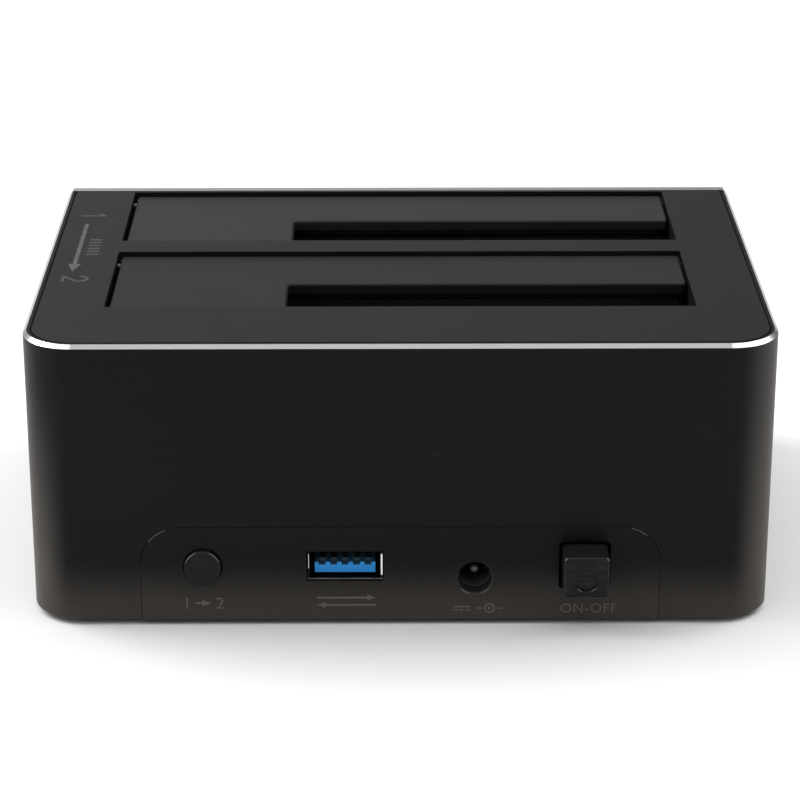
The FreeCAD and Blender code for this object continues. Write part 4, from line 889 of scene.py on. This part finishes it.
# ---------------------------------------------------------------- a finish for every node
FINISHES = {
    "anodised_aluminium": lambda: anodised("anodised_aluminium"),
    "top_plastic": deck_plastic,
    # The bay frame is paler than the other black mouldings: painted light deep in the bays.
    "frame_plastic": lambda: moulded("frame_plastic", 0.14, 0.6, depth=0.03 * MM),
    "port_plastic": port_plastic,
    "button_plastic": smudged_button_with_highlights,
    "steel_pin": lambda: metal("steel_pin", 0.22, 0.4, (12, 1, 1)),
    "spring_steel": lambda: metal("spring_steel", 0.5, 0.3),
    "screw_steel": lambda: metal("screw_steel", 0.1, 0.4),
    "foot_rubber": rubber,
    "board_laminate": laminate,
    "socket_plastic": lambda: moulded("socket_plastic", 0.012, 0.4, grain_scale=COARSE_GRAIN),
    "gold_contact": lambda: tinted_metal("gold_contact", *GOLD, 0.25),
    "tin_shield": shield_tin,
    "tongue_blue": blue_tongue,
    # Darkened metal: painted shade for the pin deep in the inlet.
    "contact_silver": lambda: metal("contact_silver", 0.1, 0.4),
    "chip_black": chip_resin,
    "crystal_can": lambda: metal("crystal_can", 0.72, 0.22, (1, 10, 1)),
    "coil_ferrite": ferrite,
    "capacitor_sleeve": capacitor_can,
    "led_lens": led_resin,
    "clear_pipe": clear_plastic,
}

# Nodes whose finish is a variant of their slot's.
VARIANTS = {
    "front_plate": lambda: anodised("anodised_plate", plate=True),
    "data_port_contacts": lambda: tinted_metal("shaded_contact", *SHADED_GOLD, 0.5),
    # The inlet's body is paler than its slot's black: painted light inside the inlet.
    "dc_jack_body": lambda: moulded("jack_plastic_painted_light", 0.12, 0.5, grain_scale=COARSE_GRAIN),
    "flap_1": lambda: flap_plastic("flap_1", FLAP_1_TONE),
    "flap_2": lambda: flap_plastic("flap_2", FLAP_2_TONE),
}


def dress_nodes():
    """Gives every CAD node its own variant, or the finish that its material slot shares."""
    made = {}
    for part in frame["record"]["subparts"]:
        node, slot = part["node"], part["material_slot"]
        if node in VARIANTS:
            finish = VARIANTS[node]()
        else:
            if slot not in made:
                made[slot] = FINISHES[slot]()
            finish = made[slot]
        item = nodes[node]
        item.data.materials.clear()
        item.data.materials.append(finish)


dress_nodes()


def wind_spring(bay):
    """A flap's spring: a copy of its CAD node's mesh, laid in place, while the node itself is hidden."""
    node = f"flap_spring_{bay}"
    piece = bpy.data.objects.new(f"wound_spring_{bay}", nodes[node].data.copy())
    scene.collection.objects.link(piece)
    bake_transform(piece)
    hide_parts(node)


wind_spring(1)
wind_spring(2)


# ---------------------------------------------------------------- print on the port panel
INK_DEPTH = 0.01 * MM
CAP_SHARE = 0.69  # the height of a capital in the built-in font, as a share of its size
CIRCLE_SIDES = 32

# Heights of the marks above the base, and their sizes.
MARK_Z = BASE_Z + 2.1 * MM
BAY_NUMERAL = 2.2 * MM
BAY_SPREAD = 2.9 * MM
BAY_ARROW_Z = BASE_Z + 3.2 * MM
BAY_ARROW_LENGTH, BAY_ARROW_HEIGHT, BAY_ARROW_LINE = 2.8 * MM, 1.3 * MM, 0.36 * MM
WAYS_SHIFT = 0.2 * MM
WAYS_Z = BASE_Z + 3.5 * MM
WAYS_OFFSET = 0.7 * MM
WAYS_LENGTH, WAYS_HEIGHT, WAYS_LINE = 10.4 * MM, 1.2 * MM, 0.38 * MM
CURRENT_SHIFT = -2.3 * MM
CURRENT_OFFSET = 0.32 * MM
CURRENT_LENGTH, CURRENT_DASH, CURRENT_LINE = 2.9 * MM, 0.72 * MM, 0.28 * MM
CENTRE_SHIFT = 2.6 * MM
RING_OUT, RING_IN, RING_DOT = 0.95 * MM, 0.7 * MM, 0.3 * MM
LEAD_OFFSET, LEAD_LENGTH, LEAD_LINE = 1.75 * MM, 0.9 * MM, 0.24 * MM
SWITCH_SHIFT = 0.85 * MM
SWITCH_Z = BASE_Z + 1.2 * MM
SWITCH_HEIGHT = 1.75 * MM
SWITCH_STRETCH = 1.1


def ink():
    """Pale grey pad print, a little thin in places."""
    paint = Paint("pad_print")
    paint.fixed(IOR=1.3)
    thin = paint.noise(2600)
    paint.colour(paint.mix(thin, grey(0.075, 0.05), grey(0.13, 0.05)))
    paint.roughness(paint.vary(thin, 0.45, 0.6))
    return paint.material


pad_print = ink()


def set_print(piece, x, z):
    """Lays a flat curve or text on the panel's face and fixes it to the housing."""
    piece.data.extrude = INK_DEPTH / 2
    piece.location = (x, PORT_FACE - INK_DEPTH / 2, z)
    piece.rotation_euler = (math.radians(90), 0, 0)
    piece.data.materials.append(pad_print)
    scene.collection.objects.link(piece)
    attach(piece, "housing")


def print_loops(name, x, z, loops):
    """Filled outlines, in metres about their own middle; a loop inside another is a hole."""
    data = bpy.data.curves.new(name, "CURVE")
    data.dimensions = "2D"
    data.fill_mode = "BOTH"
    for loop in loops:
        spline = data.splines.new("POLY")
        spline.points.add(len(loop) - 1)
        for point, (u, v) in zip(spline.points, loop):
            point.co = (u, v, 0, 1)
        spline.use_cyclic_u = True
    set_print(bpy.data.objects.new(name, data), x, z)


def print_text(name, words, x, z, height, stretch=1.0):
    """Words with capitals of one height, centred on x and standing on z; stretch widens their spacing."""
    data = bpy.data.curves.new(name, "FONT")
    data.body = words
    data.size = height / CAP_SHARE
    data.align_x = "CENTER"
    data.align_y = "BOTTOM_BASELINE"
    data.space_character = stretch
    set_print(bpy.data.objects.new(name, data), x, z)


def bar(u, v, width, height):
    """A rectangle about its middle."""
    return [(u - width / 2, v - height / 2), (u + width / 2, v - height / 2),
            (u + width / 2, v + height / 2), (u - width / 2, v + height / 2)]


def circle(radius):
    """A ring of points about the middle."""
    turns = [math.tau * i / CIRCLE_SIDES for i in range(CIRCLE_SIDES)]
    return [(radius * math.cos(turn), radius * math.sin(turn)) for turn in turns]


def arrow_loop(v, length, height, way, line):
    """A straight arrow at height v that points along way, 1 for right and -1 for left."""
    tip, tail = way * length / 2, -way * length / 2
    neck = tip - way * height * 1.3
    return [(tail, v - line / 2), (neck, v - line / 2), (neck, v - height / 2), (tip, v),
            (neck, v + height / 2), (neck, v + line / 2), (tail, v + line / 2)]


print_text("print_from_bay", "1", COPY_X - BAY_SPREAD, MARK_Z, BAY_NUMERAL)
print_text("print_to_bay", "2", COPY_X + BAY_SPREAD, MARK_Z, BAY_NUMERAL)
print_loops("print_bay_arrow", COPY_X, BAY_ARROW_Z,
            [arrow_loop(0, BAY_ARROW_LENGTH, BAY_ARROW_HEIGHT, 1, BAY_ARROW_LINE)])
print_loops("print_data_ways", DATA_X + WAYS_SHIFT, WAYS_Z,
            [arrow_loop(way * WAYS_OFFSET, WAYS_LENGTH, WAYS_HEIGHT, way, WAYS_LINE) for way in (1, -1)])
print_loops("print_direct_current", INLET_X + CURRENT_SHIFT, MARK_Z,
            [bar(0, CURRENT_OFFSET, CURRENT_LENGTH, CURRENT_LINE)]
            + [bar(share * (CURRENT_LENGTH - CURRENT_DASH) / 2, -CURRENT_OFFSET, CURRENT_DASH, CURRENT_LINE)
               for share in (-1, 0, 1)])
print_loops("print_centre_plus", INLET_X + CENTRE_SHIFT, MARK_Z,
            [circle(RING_OUT), circle(RING_IN), circle(RING_DOT),
             bar(-LEAD_OFFSET, 0, LEAD_LENGTH, LEAD_LINE), bar(LEAD_OFFSET, 0, LEAD_LENGTH, LEAD_LINE)])
print_text("print_on_off", "ON-OFF", POWER_X + SWITCH_SHIFT, SWITCH_Z, SWITCH_HEIGHT, SWITCH_STRETCH)
